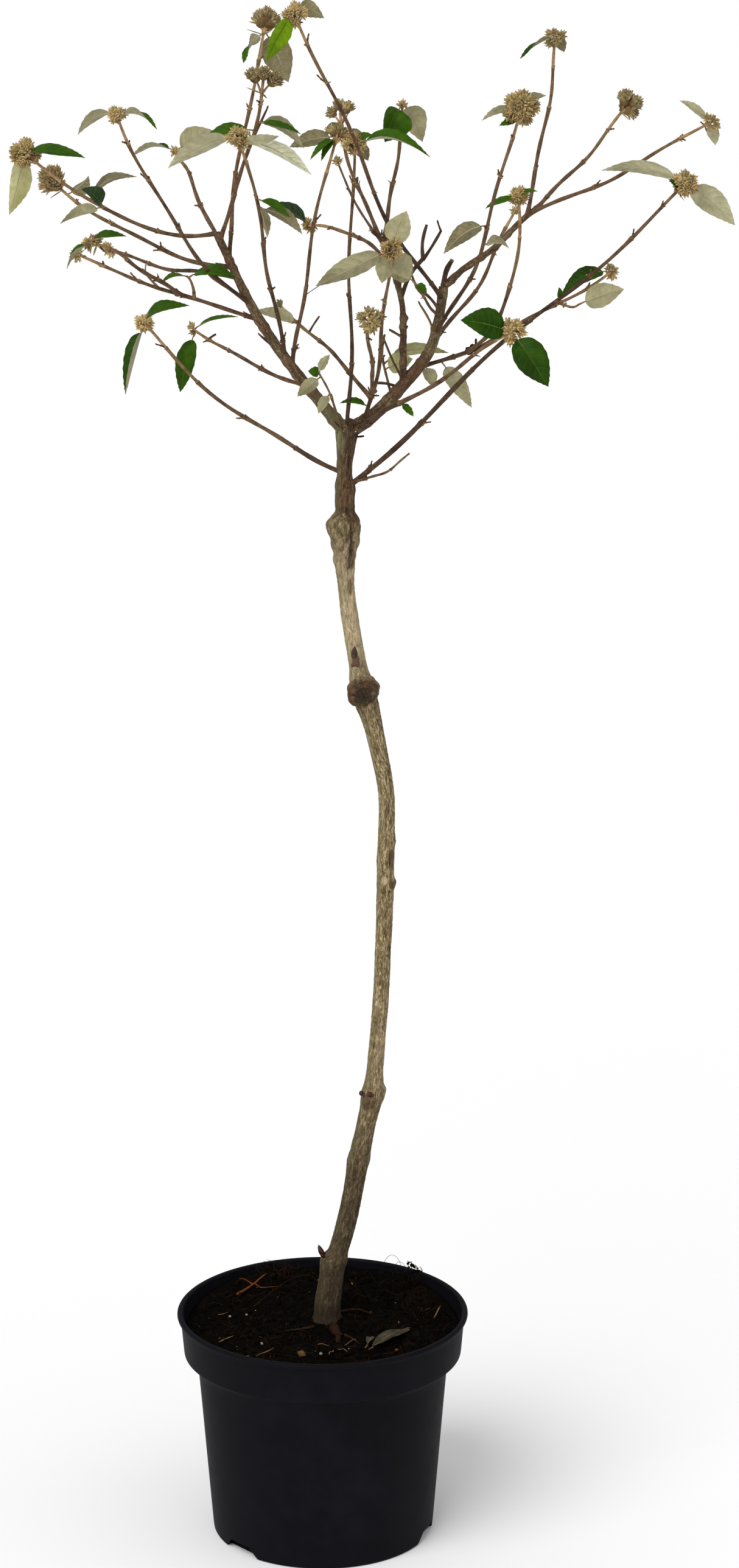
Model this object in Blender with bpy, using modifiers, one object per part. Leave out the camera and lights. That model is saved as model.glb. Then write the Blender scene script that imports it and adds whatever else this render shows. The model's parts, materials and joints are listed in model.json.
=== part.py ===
"""Grafted standard viburnum in a nursery pot.

A short clear trunk on a turned plastic pot carries four boughs, and the boughs and trunk carry open sprays:
long opposite-leaved shoots that end in a head of flower buds, with the few leaves that last the winter.

Metres, +X right, +Y back, +Z up. The origin is the middle of the pot's flat underside.
The plant's tables are in millimetres and are scaled by MM where they are read.
"""

import math
import random
from typing import NamedTuple

import bmesh
import bpy
from mathutils import Matrix, Vector

MM = 0.001
GAP = 0.3 * MM
UP = Vector((0, 0, 1))

# Pot, a turned shell: rim radius, height and the body's taper drive the rest.
POT_HEIGHT = 207 * MM
RIM_RADIUS = 130 * MM
LIP_ROUND = 2.5 * MM
BAND_TOP_RADIUS = 127 * MM
BAND_FOOT_RADIUS = 124 * MM
BAND_HEIGHT = 38 * MM
SHOULDER_HEIGHT = 8 * MM
BODY_TOP_RADIUS = 112 * MM
BODY_FOOT_RADIUS = 99 * MM
FOOT_ROUND = 2.5 * MM
WALL = 2.2 * MM
POT_STEPS = 36
NOTCH_COUNT = 3
NOTCH_FIRST_ANGLE = math.radians(-138)
NOTCH_HEIGHT = 10 * MM
NOTCH_FOOT_WIDTH = 43 * MM
NOTCH_TOP_WIDTH = 24 * MM
NOTCH_REACH = 9 * MM

SOIL_TOP = 187 * MM
SOIL_STEPS = 24

# Trunk, from the soil to the fork: height, right, back and diameter, all in mm.
TRUNK = (
    (187.3, 4, 21, 29), (196, 4, 21, 24.5), (232, 8, 20, 22), (248, 10, 20, 24), (258, 15, 20, 18.5),
    (310, 27, 19, 18), (342, 32, 18, 19), (371, 38, 17, 17), (406, 45, 17, 19), (430, 47, 16, 14.5),
    (516, 53, 14, 14), (611, 56, 12, 15), (673, 57, 11, 14), (730, 48, 10, 16), (760, 41, 9, 19),
    (778, 36, 9, 21), (797, 32, 9, 15.5), (868, 22, 7, 14.5), (890, 21, 7, 17.5), (908, 21, 6, 23),
    (923, 20, 6, 27.5), (934, 21, 6, 17), (942, 21, 5, 17), (968, 21, 5, 12.5), (990, 22, 4, 16),
    (1005, 24, 4, 19), (1012, 25, 4, 13),
)
STUB_HEIGHT = 777 * MM
STUB_RADIUS = 9 * MM
STUB_REACH = 13 * MM
STUB_TILT = math.radians(12)


class Limb(NamedTuple):
    """One tapering limb: it leaves its parent at a share of that limb's length, or at a height on the trunk."""

    node: str
    name: str
    parent: str
    share: float
    tip: tuple
    bow: tuple
    girth: tuple
    head: float = 0
    leaves: tuple = ()


# Boughs. Tip and bow (how far the middle stands off the straight line) are right, back, up in mm.
# Girth is the diameter at the foot and at the tip.
BOUGHS = (
    Limb("bough_left", "left", "trunk", 1000, (-85, -30, 1175), (-8, 1, -4), (11, 6)),
    Limb("bough_right", "right", "trunk", 1003, (105, 40, 1120), (16, 3, -13), (12, 8)),
    Limb("bough_right_upper", "right_upper", "right", 1.0, (185, 90, 1180), (-5, 0, -5), (5.5, 5)),
    Limb("bough_centre", "centre", "right", 0.4, (55, 30, 1165), (5, -6, 7), (5.5, 5)),
)

# Shoots. A node's first row is its stem and the others branch from it. Head is the bud head's width in mm.
# Each leaf is (share of the shoot where it sits, tip's reach right, tip's rise, lean, arch, width). A lean
# above zero turns the green face to the front and one below zero turns the felted face there. Arch is how
# far the blade's middle stands off the straight line to its tip, as a share of that line.
SHOOT = (4.2, 2.8)
TWIG = (2.8, 2.0)
SHOOTS = (
    Limb("spray_left_tip", "a", "left", 1.0, (-244, -15, 1240), (5, -7, -22), SHOOT, 26,
         ((1.0, 51, -3, 2, 0.2, 20), (1.0, -15, -54, -2, 0.12, 18), (0.69, 38, 18, -1, 0.24, 12),
          (0.62, -18, 16, 1, 0.2, 16), (0.62, -37, -15, -2, 0.12, 13))),
    Limb("spray_left_pair", "b", "left", 0.84, (-228, 70, 1206), (-1, -3, -14), SHOOT, 26,
         ((0.91, 18, 15, -2, -0.2, 18),)),
    Limb("spray_left_rear", "c", "left", 0.79, (-185, 160, 1135), (-1, 1, -4), SHOOT, 11),
    Limb("spray_left_low", "d", "left", 0.59, (-195, -120, 1170), (-5, 28, -6), SHOOT, 12),
    Limb("spray_left_low", "d_upper", "d", 0.42, (-180, -160, 1185), (-1, -4, 5), SHOOT, 18,
         ((1.0, 28, 6, 2, 0.33, 14), (1.0, -20, -20, 1, 0.2, 12))),
    Limb("spray_left_low", "d_inner", "d", 0.33, (-110, -35, 1140), (2, -5, 3), TWIG, 0,
         ((0.93, -22, -4, 0.7, 0.2, 10), (0.87, 40, 2, 1, 0.24, 18))),
    Limb("spray_left_front", "e", "left", 0.66, (-160, -140, 1285), (-8, -6, -12), SHOOT, 16,
         ((1.0, -32, -18, -0.7, 0.24, 14), (0.99, 32, -9, 0.5, 0.24, 14))),
    Limb("spray_left_bare", "f", "left", 0.94, (-125, 120, 1225), (-6, 4, 12), SHOOT, 6,
         ((1.0, -38, -5, -0.7, 0.18, 13),)),
    Limb("spray_left_top", "g", "left", 0.97, (-44, -90, 1306), (6, 0, 8), SHOOT, 29,
         ((0.64, -44, -8, 2, 0.3, 16), (0.69, 36, -8, 1.5, 0.15, 12), (0.69, 38, -22, -2, 0.33, 13))),
    Limb("spray_summit_rear", "h", "left", 0.88, (-45, 60, 1341), (-6, 2, -15), SHOOT, 25,
         ((0.96, -15, -24, 1, 0.35, 14), (0.97, 20, -45, -2, 0.1, 25))),
    Limb("spray_middle_front", "i", "left", 0.42, (-62, -170, 1270), (3, 10, -2), SHOOT, 20,
         ((1.0, -57, -27, -2, 0.12, 20), (1.0, -53, -10, -2, -0.05, 24), (0.99, 57, -30, -1.5, 0.12, 18),
          (1.0, 32, 0, -1.5, -0.15, 12), (0.74, 27, -14, 1.5, 0.15, 13), (0.7, 35, -22, -2, 0.22, 14),
          (0.73, 8, -30, -2, 0.1, 12))),
    Limb("spray_middle_rear", "j", "left", 0.37, (15, 30, 1250), (-6, -11, -10), SHOOT, 22,
         ((0.99, -40, -10, -2, 0.12, 16), (0.99, -22, -18, 1, 0.1, 9), (0.99, -13, -19, 1, 0.1, 9))),
    Limb("spray_low_rear", "k", "left", 0.27, (-112, 150, 1066), (-2, -3, -3), SHOOT, 13,
         ((0.99, -13, -52, 2, 0.08, 18), (1.0, 39, 13, 0.7, 0.12, 11))),
    Limb("spray_upright", "l", "trunk", 990, (30, -30, 1250), (0, -12, -13), SHOOT, 22,
         ((1.0, 14, 7, 1, 0.1, 9), (0.99, 62, -7, 1, 0.24, 16), (1.0, 11, -16, -2, 0.1, 12))),
    Limb("spray_fork_twig", "m", "trunk", 985, (0, -45, 1060), (4, 0, 0), TWIG, 0,
         ((0.98, -10, 4, 1, 0.1, 9), (1.0, 9, 15, -1, 0.1, 7), (0.96, -20, -18, -2, 0.05, 11),
          (0.74, -10, -18, -1, 0.1, 8))),
    Limb("spray_centre_front", "n", "right", 0.1, (60, -120, 1175), (4, -4, 1), SHOOT, 20,
         ((1.0, -62, -34, -2, 0, 20), (0.98, 14, -24, -2, 0.1, 20), (0.98, -8, -27, -2, 0.1, 18),
          (1.0, 12, 29, -2, 0.1, 21), (0.08, -24, 5, 1, 0.25, 8))),
    Limb("spray_centre_front", "n_front", "n", 0.18, (43, -180, 1126), (-2, -1, 6), SHOOT, 23),
    Limb("spray_centre_front", "n_rear", "n", 0.14, (-33, 100, 1091), (-4, 6, 7), SHOOT, 16,
         ((0.76, -40, 10, -2, 0.15, 12),)),
    Limb("spray_centre_left", "o", "centre", 0.7, (-10, 130, 1160), (5, -6, 12), SHOOT, 13,
         ((1.0, -33, 21, 1.5, 0.15, 18),)),
    Limb("spray_centre_rear", "p", "centre", 0.84, (17, 80, 1262), (-7, -3, 0), SHOOT, 26,
         ((0.94, -14, -12, 1, 0.1, 9), (0.9, 22, -24, -2, 0.1, 14))),
    Limb("spray_centre_rear", "p_side", "p", 0.08, (15, 50, 1225), (-4, 0, 0), TWIG, 8),
    Limb("spray_centre_right", "q", "centre", 1.0, (70, 60, 1271), (1, 0, -1), SHOOT, 5,
         ((1.0, -15, -30, 2, 0.28, 21), (1.0, 17, -32, -2, 0.28, 22))),
    Limb("spray_summit", "r", "right", 0.94, (-18, -130, 1364), (-1, -15, -13), SHOOT, 22,
         ((1.0, 24, -5, -2, 0.3, 16), (1.0, -22, -37, 2, 0.12, 18))),
    Limb("spray_right_top", "s", "right_upper", 0.92, (199, 80, 1326), (4, 5, 5), SHOOT, 17,
         ((1.0, -30, -17, 1.5, 0.25, 11), (1.0, 8, -13, -2, 0.1, 11))),
    Limb("spray_right_rear", "t", "right_upper", 1.0, (267, 160, 1262), (-2, -4, -5), SHOOT, 24),
    Limb("spray_right_tip", "u", "right_upper", 0.96, (327, 20, 1261), (-2, 6, -6), SHOOT, 15,
         ((0.99, -24, 18, -1, 0.12, 9), (1.0, 5, -20, -2, 0.1, 11))),
    Limb("spray_right_front", "v", "right", 0.76, (164, -120, 1289), (4, 3, -15), SHOOT, 32,
         ((0.99, -31, -10, -1, 0.15, 9), (1.0, 20, 8, -1, 0.15, 9), (0.95, -15, -3, 1, 0.12, 7),
          (0.57, -36, -25, -2, 0.28, 16), (0.49, 22, -3, -0.5, 0.2, 13))),
    Limb("spray_right_far", "w", "right", 0.68, (170, 190, 1165), (6, -1, 1), SHOOT, 9),
    Limb("spray_inner_stub", "x", "right", 0.85, (80, -10, 1130), (-3, -3, 2), TWIG, 0,
         ((1.0, -29, 21, -2, 0.1, 20), (1.0, 10, -7, 1, 0.1, 7))),
    Limb("spray_inner_twig", "y", "right", 0.31, (55, 65, 1075), (-4, 2, 2), TWIG, 0,
         ((0.48, 56, 7, -2, 0.22, 14), (0.25, 22, 10, -2, 0.1, 12))),
    Limb("spray_right_middle", "z", "right", 0.53, (252, 140, 1118), (5, -3, -5), SHOOT, 11,
         ((1.0, -43, -17, 1, 0.25, 16), (0.1, 27, -43, -2, 0.05, 12), (0.06, 3, -26, -2, 0.1, 11))),
    Limb("spray_right_middle", "z_front", "z", 0.22, (167, 20, 1200), (14, -5, -17), SHOOT, 18,
         ((0.99, -28, -8, 1, 0.12, 10), (1.0, 16, 4, 1, 0.15, 7))),
    Limb("spray_right_long", "aa", "trunk", 952, (302, -50, 1219), (4, 2, 0), (5.5, 3), 24,
         ((1.0, -68, 8, -2, 0.17, 15), (1.0, 43, -37, -2, 0.1, 22), (0.98, -9, 9, 1, 0.1, 6),
          (0.62, -1, 10, 1, 0.1, 6))),
    Limb("spray_right_long", "aa_foot", "aa", 0.03, (75, -60, 995), (-1, -2, -5), TWIG),
    Limb("spray_right_long", "aa_side", "aa", 0.61, (215, -60, 1120), (1, -7, -2), TWIG, 0,
         ((1.0, 38, 11, -2, 0.05, 20),)),
    Limb("spray_right_low", "ab", "trunk", 998, (157, -180, 1117), (5, -2, 4), (4.8, 3), 22,
         ((0.98, -40, 12, 2, 0.12, 26), (0.99, 29, -42, 2, 0.1, 28), (0.9, -8, 8, 1, 0.1, 6),
          (0.31, 11, -11, 1, 0.1, 6))),
    Limb("spray_left_lowest", "ac", "trunk", 966, (-154, 120, 1077), (0, -2, -17), (4.8, 3), 18,
         ((1.0, 40, 17, 1.5, 0.33, 16), (1.0, -16, -60, 1.5, 0.2, 17))),
)

# How a limb grows: how far its line swings off the bow, and how far apart its rings stand.
SWING = 0.012
BOUGH_SPACING = 22 * MM
SHOOT_SPACING = 34 * MM
TIP_ROUND = 0.6

# Nodes sit closer together towards a shoot's tip. Some still hold a spur.
FIRST_INTERNODE = 28 * MM
INTERNODE_GROWTH = 1.35
LONGEST_INTERNODE = 62 * MM
SPUR_CHANCE = 0.3
SPUR_LENGTH = (7 * MM, 15 * MM)
SPUR_RADIUS = 1.1 * MM
SPUR_SPREAD = math.radians(42)
CLEARANCE = 3.5 * MM

# Leaves: the blade narrows to a petiole that is rooted on its shoot's middle line.
LEAF_THICKNESS = 0.9 * MM
LEAF_TURN = (-0.3, 0.3)
LEAF_FOLD = (0.25, 0.55)
LEAF_DEPTH_SHARE = 0.3
PETIOLE_SHARE = 0.16
PETIOLE_RADIUS = 0.7 * MM
BLADE_OUTLINE = ((0.34, 0.86), (0.56, 1.0), (0.82, 0.52))

# Bud heads: a core with pointed buds round it.
HEAD_CORE = 0.6
HEAD_BUD_COUNT = 6
HEAD_BUD_RADIUS = 0.42
HEAD_BUD_ROOT = 0.25
GOLDEN_TURN = math.pi * (3 - math.sqrt(5))

COLOURS = {
    "pot": ((0.012, 0.013, 0.016), 0.45),
    "soil": ((0.018, 0.012, 0.009), 0.95),
    "bark": ((0.16, 0.115, 0.08), 0.85),
    "twig": ((0.21, 0.12, 0.07), 0.7),
}


def clear_scene():
    for obj in list(bpy.data.objects):
        bpy.data.objects.remove(obj, do_unlink=True)


def new_collection(name):
    collection = bpy.data.collections.new(name)
    bpy.context.scene.collection.children.link(collection)
    return collection


def material(name):
    colour, roughness = COLOURS[name]
    made = bpy.data.materials.new(name)
    made.use_nodes = True
    shader = made.node_tree.nodes["Principled BSDF"]
    shader.inputs["Base Color"].default_value = (*colour, 1)
    shader.inputs["Roughness"].default_value = roughness
    shader.inputs["Metallic"].default_value = 0
    return made


def mesh_object(name, bm, collection):
    mesh = bpy.data.meshes.new(name)
    bm.to_mesh(mesh)
    bm.free()
    obj = bpy.data.objects.new(name, mesh)
    collection.objects.link(obj)
    return obj


def evaluated_mesh(obj):
    """The object's mesh with its modifiers applied."""
    bpy.context.view_layer.update()
    graph = bpy.context.evaluated_depsgraph_get()
    return bpy.data.meshes.new_from_object(obj.evaluated_get(graph))


def tube(name, stations, resolution, collection):
    """A closed tube through (point, radius) stations. Its resolution sets how many sides it has."""
    curve = bpy.data.curves.new(name, "CURVE")
    curve.dimensions = "3D"
    curve.bevel_depth = 1
    curve.bevel_resolution = resolution
    curve.use_fill_caps = True
    spline = curve.splines.new("POLY")
    spline.points.add(len(stations) - 1)
    for point, (place, radius) in zip(spline.points, stations):
        point.co = (*place, 1)
        point.radius = radius
    holder = bpy.data.objects.new(name, curve)
    collection.objects.link(holder)
    mesh = evaluated_mesh(holder)
    bpy.data.objects.remove(holder, do_unlink=True)
    bm = bmesh.new()
    bm.from_mesh(mesh)
    bmesh.ops.remove_doubles(bm, verts=bm.verts, dist=0.01 * MM)
    bmesh.ops.recalc_face_normals(bm, faces=bm.faces)
    return mesh_object(name, bm, collection)


class Line:
    """The middle line of a limb, as a point and a radius for each share from 0 at its foot to 1 at its tip."""

    def __init__(self, limb, start):
        self.name = limb.name
        self.start = start
        self.tip = Vector(limb.tip) * MM
        self.bow = Vector(limb.bow) * MM
        self.radii = tuple(girth * MM / 2 for girth in limb.girth)
        self.length = (self.tip - start).length
        chance = random.Random(limb.name)
        self.phases = [chance.uniform(0, 2 * math.pi) for _ in range(3)]

    def at(self, share):
        swing = Vector([math.sin(phase + 2.4 * math.pi * share) for phase in self.phases])
        swing *= SWING * self.length * math.sin(math.pi * share)
        return self.start.lerp(self.tip, share) + self.bow * 4 * share * (1 - share) + swing

    def heading(self, share):
        step = 0.01
        return (self.at(min(share + step, 1)) - self.at(max(share - step, 0))).normalized()

    def radius(self, share):
        return self.radii[0] + (self.radii[1] - self.radii[0]) * share

    def stations(self, spacing, grown=0):
        """Rings for tube(), a rounded end among them. grown makes the limb thicker and longer all round."""
        count = max(3, round(self.length / spacing))
        rings = [(self.at(i / count), self.radius(i / count) + grown) for i in range(count + 1)]
        end = self.at(1) + self.heading(1) * (self.radii[1] * TIP_ROUND + grown)
        return rings + [(end, (self.radii[1] + grown) * TIP_ROUND)]


def trunk_point(height):
    """The trunk's middle at a height in mm."""
    for low, high in zip(TRUNK, TRUNK[1:]):
        if height <= high[0]:
            share = (height - low[0]) / (high[0] - low[0])
            return Vector((low[1], low[2], low[0])).lerp(Vector((high[1], high[2], high[0])), share) * MM
    return Vector((TRUNK[-1][1], TRUNK[-1][2], TRUNK[-1][0])) * MM


def trunk_stations(grown=0):
    rings = [(Vector((right, back, up)) * MM, girth * MM / 2 + grown) for up, right, back, girth in TRUNK]
    rings[-1] = (rings[-1][0] + UP * grown, rings[-1][1])
    return rings


def all_lines():
    """Every limb's line by name, each starting on its parent's."""
    lines = {}
    for limb in BOUGHS + SHOOTS:
        start = trunk_point(limb.share) if limb.parent == "trunk" else lines[limb.parent].at(limb.share)
        lines[limb.name] = Line(limb, start)
    return lines


def limb_points(lines):
    """Points along every limb, by the node that the limb belongs to, to keep leaves and spurs clear of them."""
    places = {"trunk": [trunk_point(height) for height in range(190, 1010, 6)]}
    for limb in BOUGHS + SHOOTS:
        line = lines[limb.name]
        steps = round(line.length / (5 * MM))
        places.setdefault(limb.node, []).extend(line.at(i / steps) for i in range(steps + 1))
    return places


def is_clear(points, own_node, places):
    """Whether no point comes near a limb of another node."""
    return all(
        (point - place).length > CLEARANCE
        for node, others in places.items()
        if node != own_node
        for place in others
        for point in points
    )


def node_shares(line):
    """Where a shoot's nodes sit, from the tip down."""
    shares, back, internode = [], 0, FIRST_INTERNODE
    while back + internode < line.length - 8 * MM:
        back += internode
        shares.append(1 - back / line.length)
        internode = min(internode * INTERNODE_GROWTH, LONGEST_INTERNODE)
    return shares


def pair_direction(line, share, turn, spread):
    """A direction at a node, turned about the shoot and spread away from its heading."""
    heading = line.heading(share)
    side = heading.orthogonal().normalized()
    side.rotate(Matrix.Rotation(turn, 3, heading))
    return heading * math.cos(spread) + side * math.sin(spread)


def spurs(limb, line, places, collection):
    """Short bare spurs at some of a shoot's nodes, each pair a quarter turn on from the last."""
    chance = random.Random("spurs " + limb.name)
    made = []
    for i, share in enumerate(node_shares(line)):
        for side in range(2):
            length = chance.uniform(*SPUR_LENGTH)
            wanted = chance.random() < SPUR_CHANCE
            root = line.at(share)
            tip = root + pair_direction(line, share, i * math.pi / 2 + side * math.pi, SPUR_SPREAD) * length
            if wanted and is_clear([root, root.lerp(tip, 0.5), tip], limb.node, places):
                ends = [(root, SPUR_RADIUS), (tip, SPUR_RADIUS * TIP_ROUND)]
                made.append(tube("spur", ends, 0, collection))
    return made


def leaf_frame(base, tip, lean, chance):
    """Unit vectors across a leaf and out of its green face, with how steeply its halves fold up."""
    along = (tip - base).normalized()
    face = Vector((chance.uniform(*LEAF_TURN), -lean, 1))
    face = (face - along * face.dot(along)).normalized()
    return face.cross(along), face, chance.uniform(*LEAF_FOLD)


def leaf(limb, line, number, places, collection):
    """One leaf as a loft: a petiole, then a folded, arched blade with an edge on each side, then its tip."""
    share, reach, rise, lean, arch, width = limb.leaves[number]
    chance = random.Random(f"leaf {limb.name} {number}")
    base = line.at(share)
    span = math.hypot(reach, rise) * MM
    depth = -math.copysign(LEAF_DEPTH_SHARE * span, lean)
    tip = base + Vector((reach * MM, depth, rise * MM))
    across, face, fold = leaf_frame(base, tip, lean, chance)
    length = (tip - base).length

    def middle(part):
        return base.lerp(tip, part) + face * arch * length * 4 * part * (1 - part)

    if not is_clear([middle(part / 4) for part in range(1, 5)], limb.node, places):
        return []
    rings = [(0, PETIOLE_RADIUS, 0, PETIOLE_RADIUS), (PETIOLE_SHARE, PETIOLE_RADIUS, 0, PETIOLE_RADIUS)]
    for part, share_of_width in BLADE_OUTLINE:
        rings.append((part, share_of_width * width * MM / 2, fold, LEAF_THICKNESS / 2))
    bm = bmesh.new()
    loops = []
    for part, half, raised, thick in rings:
        centre = middle(part)
        edge = face * raised * half
        corners = (centre + across * half + edge, centre + face * thick, centre - across * half + edge,
                   centre - face * thick)
        loops.append([bm.verts.new(corner) for corner in corners])
    point = bm.verts.new(middle(1))
    for low, high in zip(loops, loops[1:]):
        for i in range(4):
            bm.faces.new((low[i], low[i - 1], high[i - 1], high[i]))
    for i in range(4):
        bm.faces.new((loops[-1][i], loops[-1][i - 1], point))
    bm.faces.new(loops[0])
    bmesh.ops.triangulate(bm, faces=bm.faces)
    bmesh.ops.recalc_face_normals(bm, faces=bm.faces)
    return [mesh_object("leaf", bm, collection)]


def bud_head(limb, line, collection):
    """A head of buds at a shoot's tip: a round core that pointed buds stand out of on all sides but the stalk's."""
    radius = limb.head * MM / 2
    heading = line.heading(1)
    centre = line.at(1)
    bm = bmesh.new()
    core = Matrix.Translation(centre)
    bmesh.ops.create_icosphere(bm, subdivisions=1, radius=radius * HEAD_CORE, matrix=core)
    made = [mesh_object("head_core", bm, collection)]
    turned = UP.rotation_difference(heading).to_matrix()
    for i in range(HEAD_BUD_COUNT):
        rise = 1 - 1.5 * (i + 0.5) / HEAD_BUD_COUNT
        round_ = math.sqrt(1 - rise * rise)
        turn = i * GOLDEN_TURN
        direction = turned @ Vector((round_ * math.cos(turn), round_ * math.sin(turn), rise))
        bm = bmesh.new()
        depth = radius * (1 - HEAD_BUD_ROOT)
        middle = centre + direction * (radius * HEAD_BUD_ROOT + depth / 2)
        placed = Matrix.Translation(middle) @ UP.rotation_difference(direction).to_matrix().to_4x4()
        bmesh.ops.create_cone(bm, cap_ends=True, segments=3, radius1=radius * HEAD_BUD_RADIUS, radius2=0,
                              depth=depth, matrix=placed)
        made.append(mesh_object("head_bud", bm, collection))
    return made


def boolean(obj, operation, others):
    """Gives obj the Boolean's result as its own mesh. others is a collection or one object."""
    modifier = obj.modifiers.new(operation, "BOOLEAN")
    modifier.operation = operation
    modifier.solver = "EXACT"
    if isinstance(others, bpy.types.Collection):
        modifier.operand_type = "COLLECTION"
        modifier.collection = others
    else:
        modifier.object = others
    mesh = evaluated_mesh(obj)
    obj.modifiers.remove(modifier)
    obj.data = mesh


def keep_largest_piece(obj):
    """Drops the scraps and sealed hollows that a Boolean leaves."""
    bm = bmesh.new()
    bm.from_mesh(obj.data)
    bmesh.ops.triangulate(bm, faces=bm.faces)
    islands, seen = [], set()
    for face in bm.faces:
        if face in seen:
            continue
        island, front = [], [face]
        seen.add(face)
        while front:
            current = front.pop()
            island.append(current)
            for edge in current.edges:
                for other in edge.link_faces:
                    if other not in seen:
                        seen.add(other)
                        front.append(other)
        islands.append(island)
    largest = max(islands, key=lambda island: sum(face.calc_area() for face in island))
    kept = set(largest)
    bmesh.ops.delete(bm, geom=[face for face in bm.faces if face not in kept], context="FACES")
    bm.to_mesh(obj.data)
    bm.free()


def join(obj, pieces):
    """Unites obj with the pieces through a collection of their own, then removes them."""
    pool = new_collection("joined")
    for piece in pieces:
        for held in list(piece.users_collection):
            held.objects.unlink(piece)
        pool.objects.link(piece)
    boolean(obj, "UNION", pool)
    for piece in pieces:
        bpy.data.objects.remove(piece, do_unlink=True)
    bpy.data.collections.remove(pool)


def finish(obj, surface, sharp_degrees=40):
    obj.data.materials.clear()
    obj.data.materials.append(surface)
    obj.data.shade_smooth()
    obj.data.set_sharp_from_angle(angle=math.radians(sharp_degrees))


def turned(name, profile, steps, collection):
    """A body of revolution about Z from a profile in the XZ plane, outer side from top to bottom."""
    bm = bmesh.new()
    verts = [bm.verts.new((x, 0, z)) for x, z in profile]
    for low, high in zip(verts, verts[1:]):
        bm.edges.new((low, high))
    obj = mesh_object(name, bm, collection)
    screw = obj.modifiers.new("turn", "SCREW")
    screw.steps = screw.render_steps = steps
    screw.use_merge_vertices = True
    screw.merge_threshold = 0.01 * MM
    return obj


def pot_radius_inside(height):
    """The pot's inner radius at a height below its band."""
    return BODY_FOOT_RADIUS + (BODY_TOP_RADIUS - BODY_FOOT_RADIUS) * height / (
        POT_HEIGHT - BAND_HEIGHT - SHOULDER_HEIGHT) - WALL


def make_pot(parts, cutters):
    band_foot = POT_HEIGHT - BAND_HEIGHT
    body_top = band_foot - SHOULDER_HEIGHT
    lip = [
        (RIM_RADIUS - LIP_ROUND + LIP_ROUND * math.sin(turn), POT_HEIGHT - LIP_ROUND + LIP_ROUND * math.cos(turn))
        for turn in (0, math.pi / 4, math.pi / 2, 3 * math.pi / 4)
    ]
    foot = [
        (BODY_FOOT_RADIUS - FOOT_ROUND + FOOT_ROUND * math.cos(turn), FOOT_ROUND - FOOT_ROUND * math.sin(turn))
        for turn in (0, math.pi / 4, math.pi / 2)
    ]
    profile = [
        (0, WALL),
        (pot_radius_inside(WALL), WALL),
        (BODY_TOP_RADIUS - WALL, body_top),
        (BAND_FOOT_RADIUS - WALL, band_foot - WALL / 2),
        (BAND_TOP_RADIUS - WALL, POT_HEIGHT),
        *lip,
        (BAND_TOP_RADIUS, POT_HEIGHT - 2 * LIP_ROUND),
        (BAND_FOOT_RADIUS, band_foot),
        (BODY_TOP_RADIUS + 0.4 * (BAND_FOOT_RADIUS - BODY_TOP_RADIUS), body_top + 0.4 * SHOULDER_HEIGHT),
        (BODY_TOP_RADIUS, body_top),
        *foot,
        (0, 0),
    ]
    pot = turned("pot", profile, POT_STEPS, parts)
    for i in range(NOTCH_COUNT):
        angle = NOTCH_FIRST_ANGLE + i * 2 * math.pi / NOTCH_COUNT
        bm = bmesh.new()
        bmesh.ops.create_cube(bm, size=1)
        for vert in bm.verts:
            width = NOTCH_FOOT_WIDTH if vert.co.z < 0 else NOTCH_TOP_WIDTH
            depth = NOTCH_REACH if vert.co.x < 0 else NOTCH_REACH / 2
            vert.co = (BODY_FOOT_RADIUS + math.copysign(depth, vert.co.x), vert.co.y * width,
                       NOTCH_HEIGHT if vert.co.z > 0 else -NOTCH_HEIGHT / 4)
        notch = mesh_object(f"notch_{i}", bm, cutters)
        notch.rotation_euler.z = angle
        cut = pot.modifiers.new(f"notch_{i}", "BOOLEAN")
        cut.operation = "DIFFERENCE"
        cut.object = notch
    finish(pot, material("pot"))
    return pot


def make_soil(parts):
    """The compost: a plug that fills the pot behind its notches, level at the top."""
    below_notches = BODY_FOOT_RADIUS - NOTCH_REACH - GAP
    body_top = POT_HEIGHT - BAND_HEIGHT - SHOULDER_HEIGHT
    band_share = (SOIL_TOP - (POT_HEIGHT - BAND_HEIGHT)) / BAND_HEIGHT
    top_radius = BAND_FOOT_RADIUS + (BAND_TOP_RADIUS - BAND_FOOT_RADIUS) * band_share - WALL - GAP * 2
    profile = [
        (0, SOIL_TOP),
        (top_radius, SOIL_TOP),
        (BAND_FOOT_RADIUS - WALL - GAP * 2, POT_HEIGHT - BAND_HEIGHT),
        (BODY_TOP_RADIUS - WALL - GAP * 2, body_top),
        (pot_radius_inside(NOTCH_HEIGHT) - GAP * 2, NOTCH_HEIGHT + GAP),
        (below_notches, NOTCH_HEIGHT + GAP),
        (below_notches, WALL + GAP),
        (0, WALL + GAP),
    ]
    soil = turned("soil", profile, SOIL_STEPS, parts)
    finish(soil, material("soil"))
    return soil


def make_trunk(parts, surface):
    trunk = tube("trunk", trunk_stations(), 3, parts)
    bm = bmesh.new()
    centre = trunk_point(STUB_HEIGHT / MM)
    front = Matrix.Rotation(math.pi / 2 + STUB_TILT, 4, "X")
    bmesh.ops.create_cone(bm, cap_ends=True, segments=10, radius1=STUB_RADIUS, radius2=STUB_RADIUS * 0.9,
                          depth=STUB_REACH, matrix=Matrix.Translation(centre) @ front
                          @ Matrix.Translation((0, 0, STUB_REACH / 2)))
    join(trunk, [mesh_object("stub", bm, parts)])
    keep_largest_piece(trunk)
    finish(trunk, surface)
    return trunk


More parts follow.
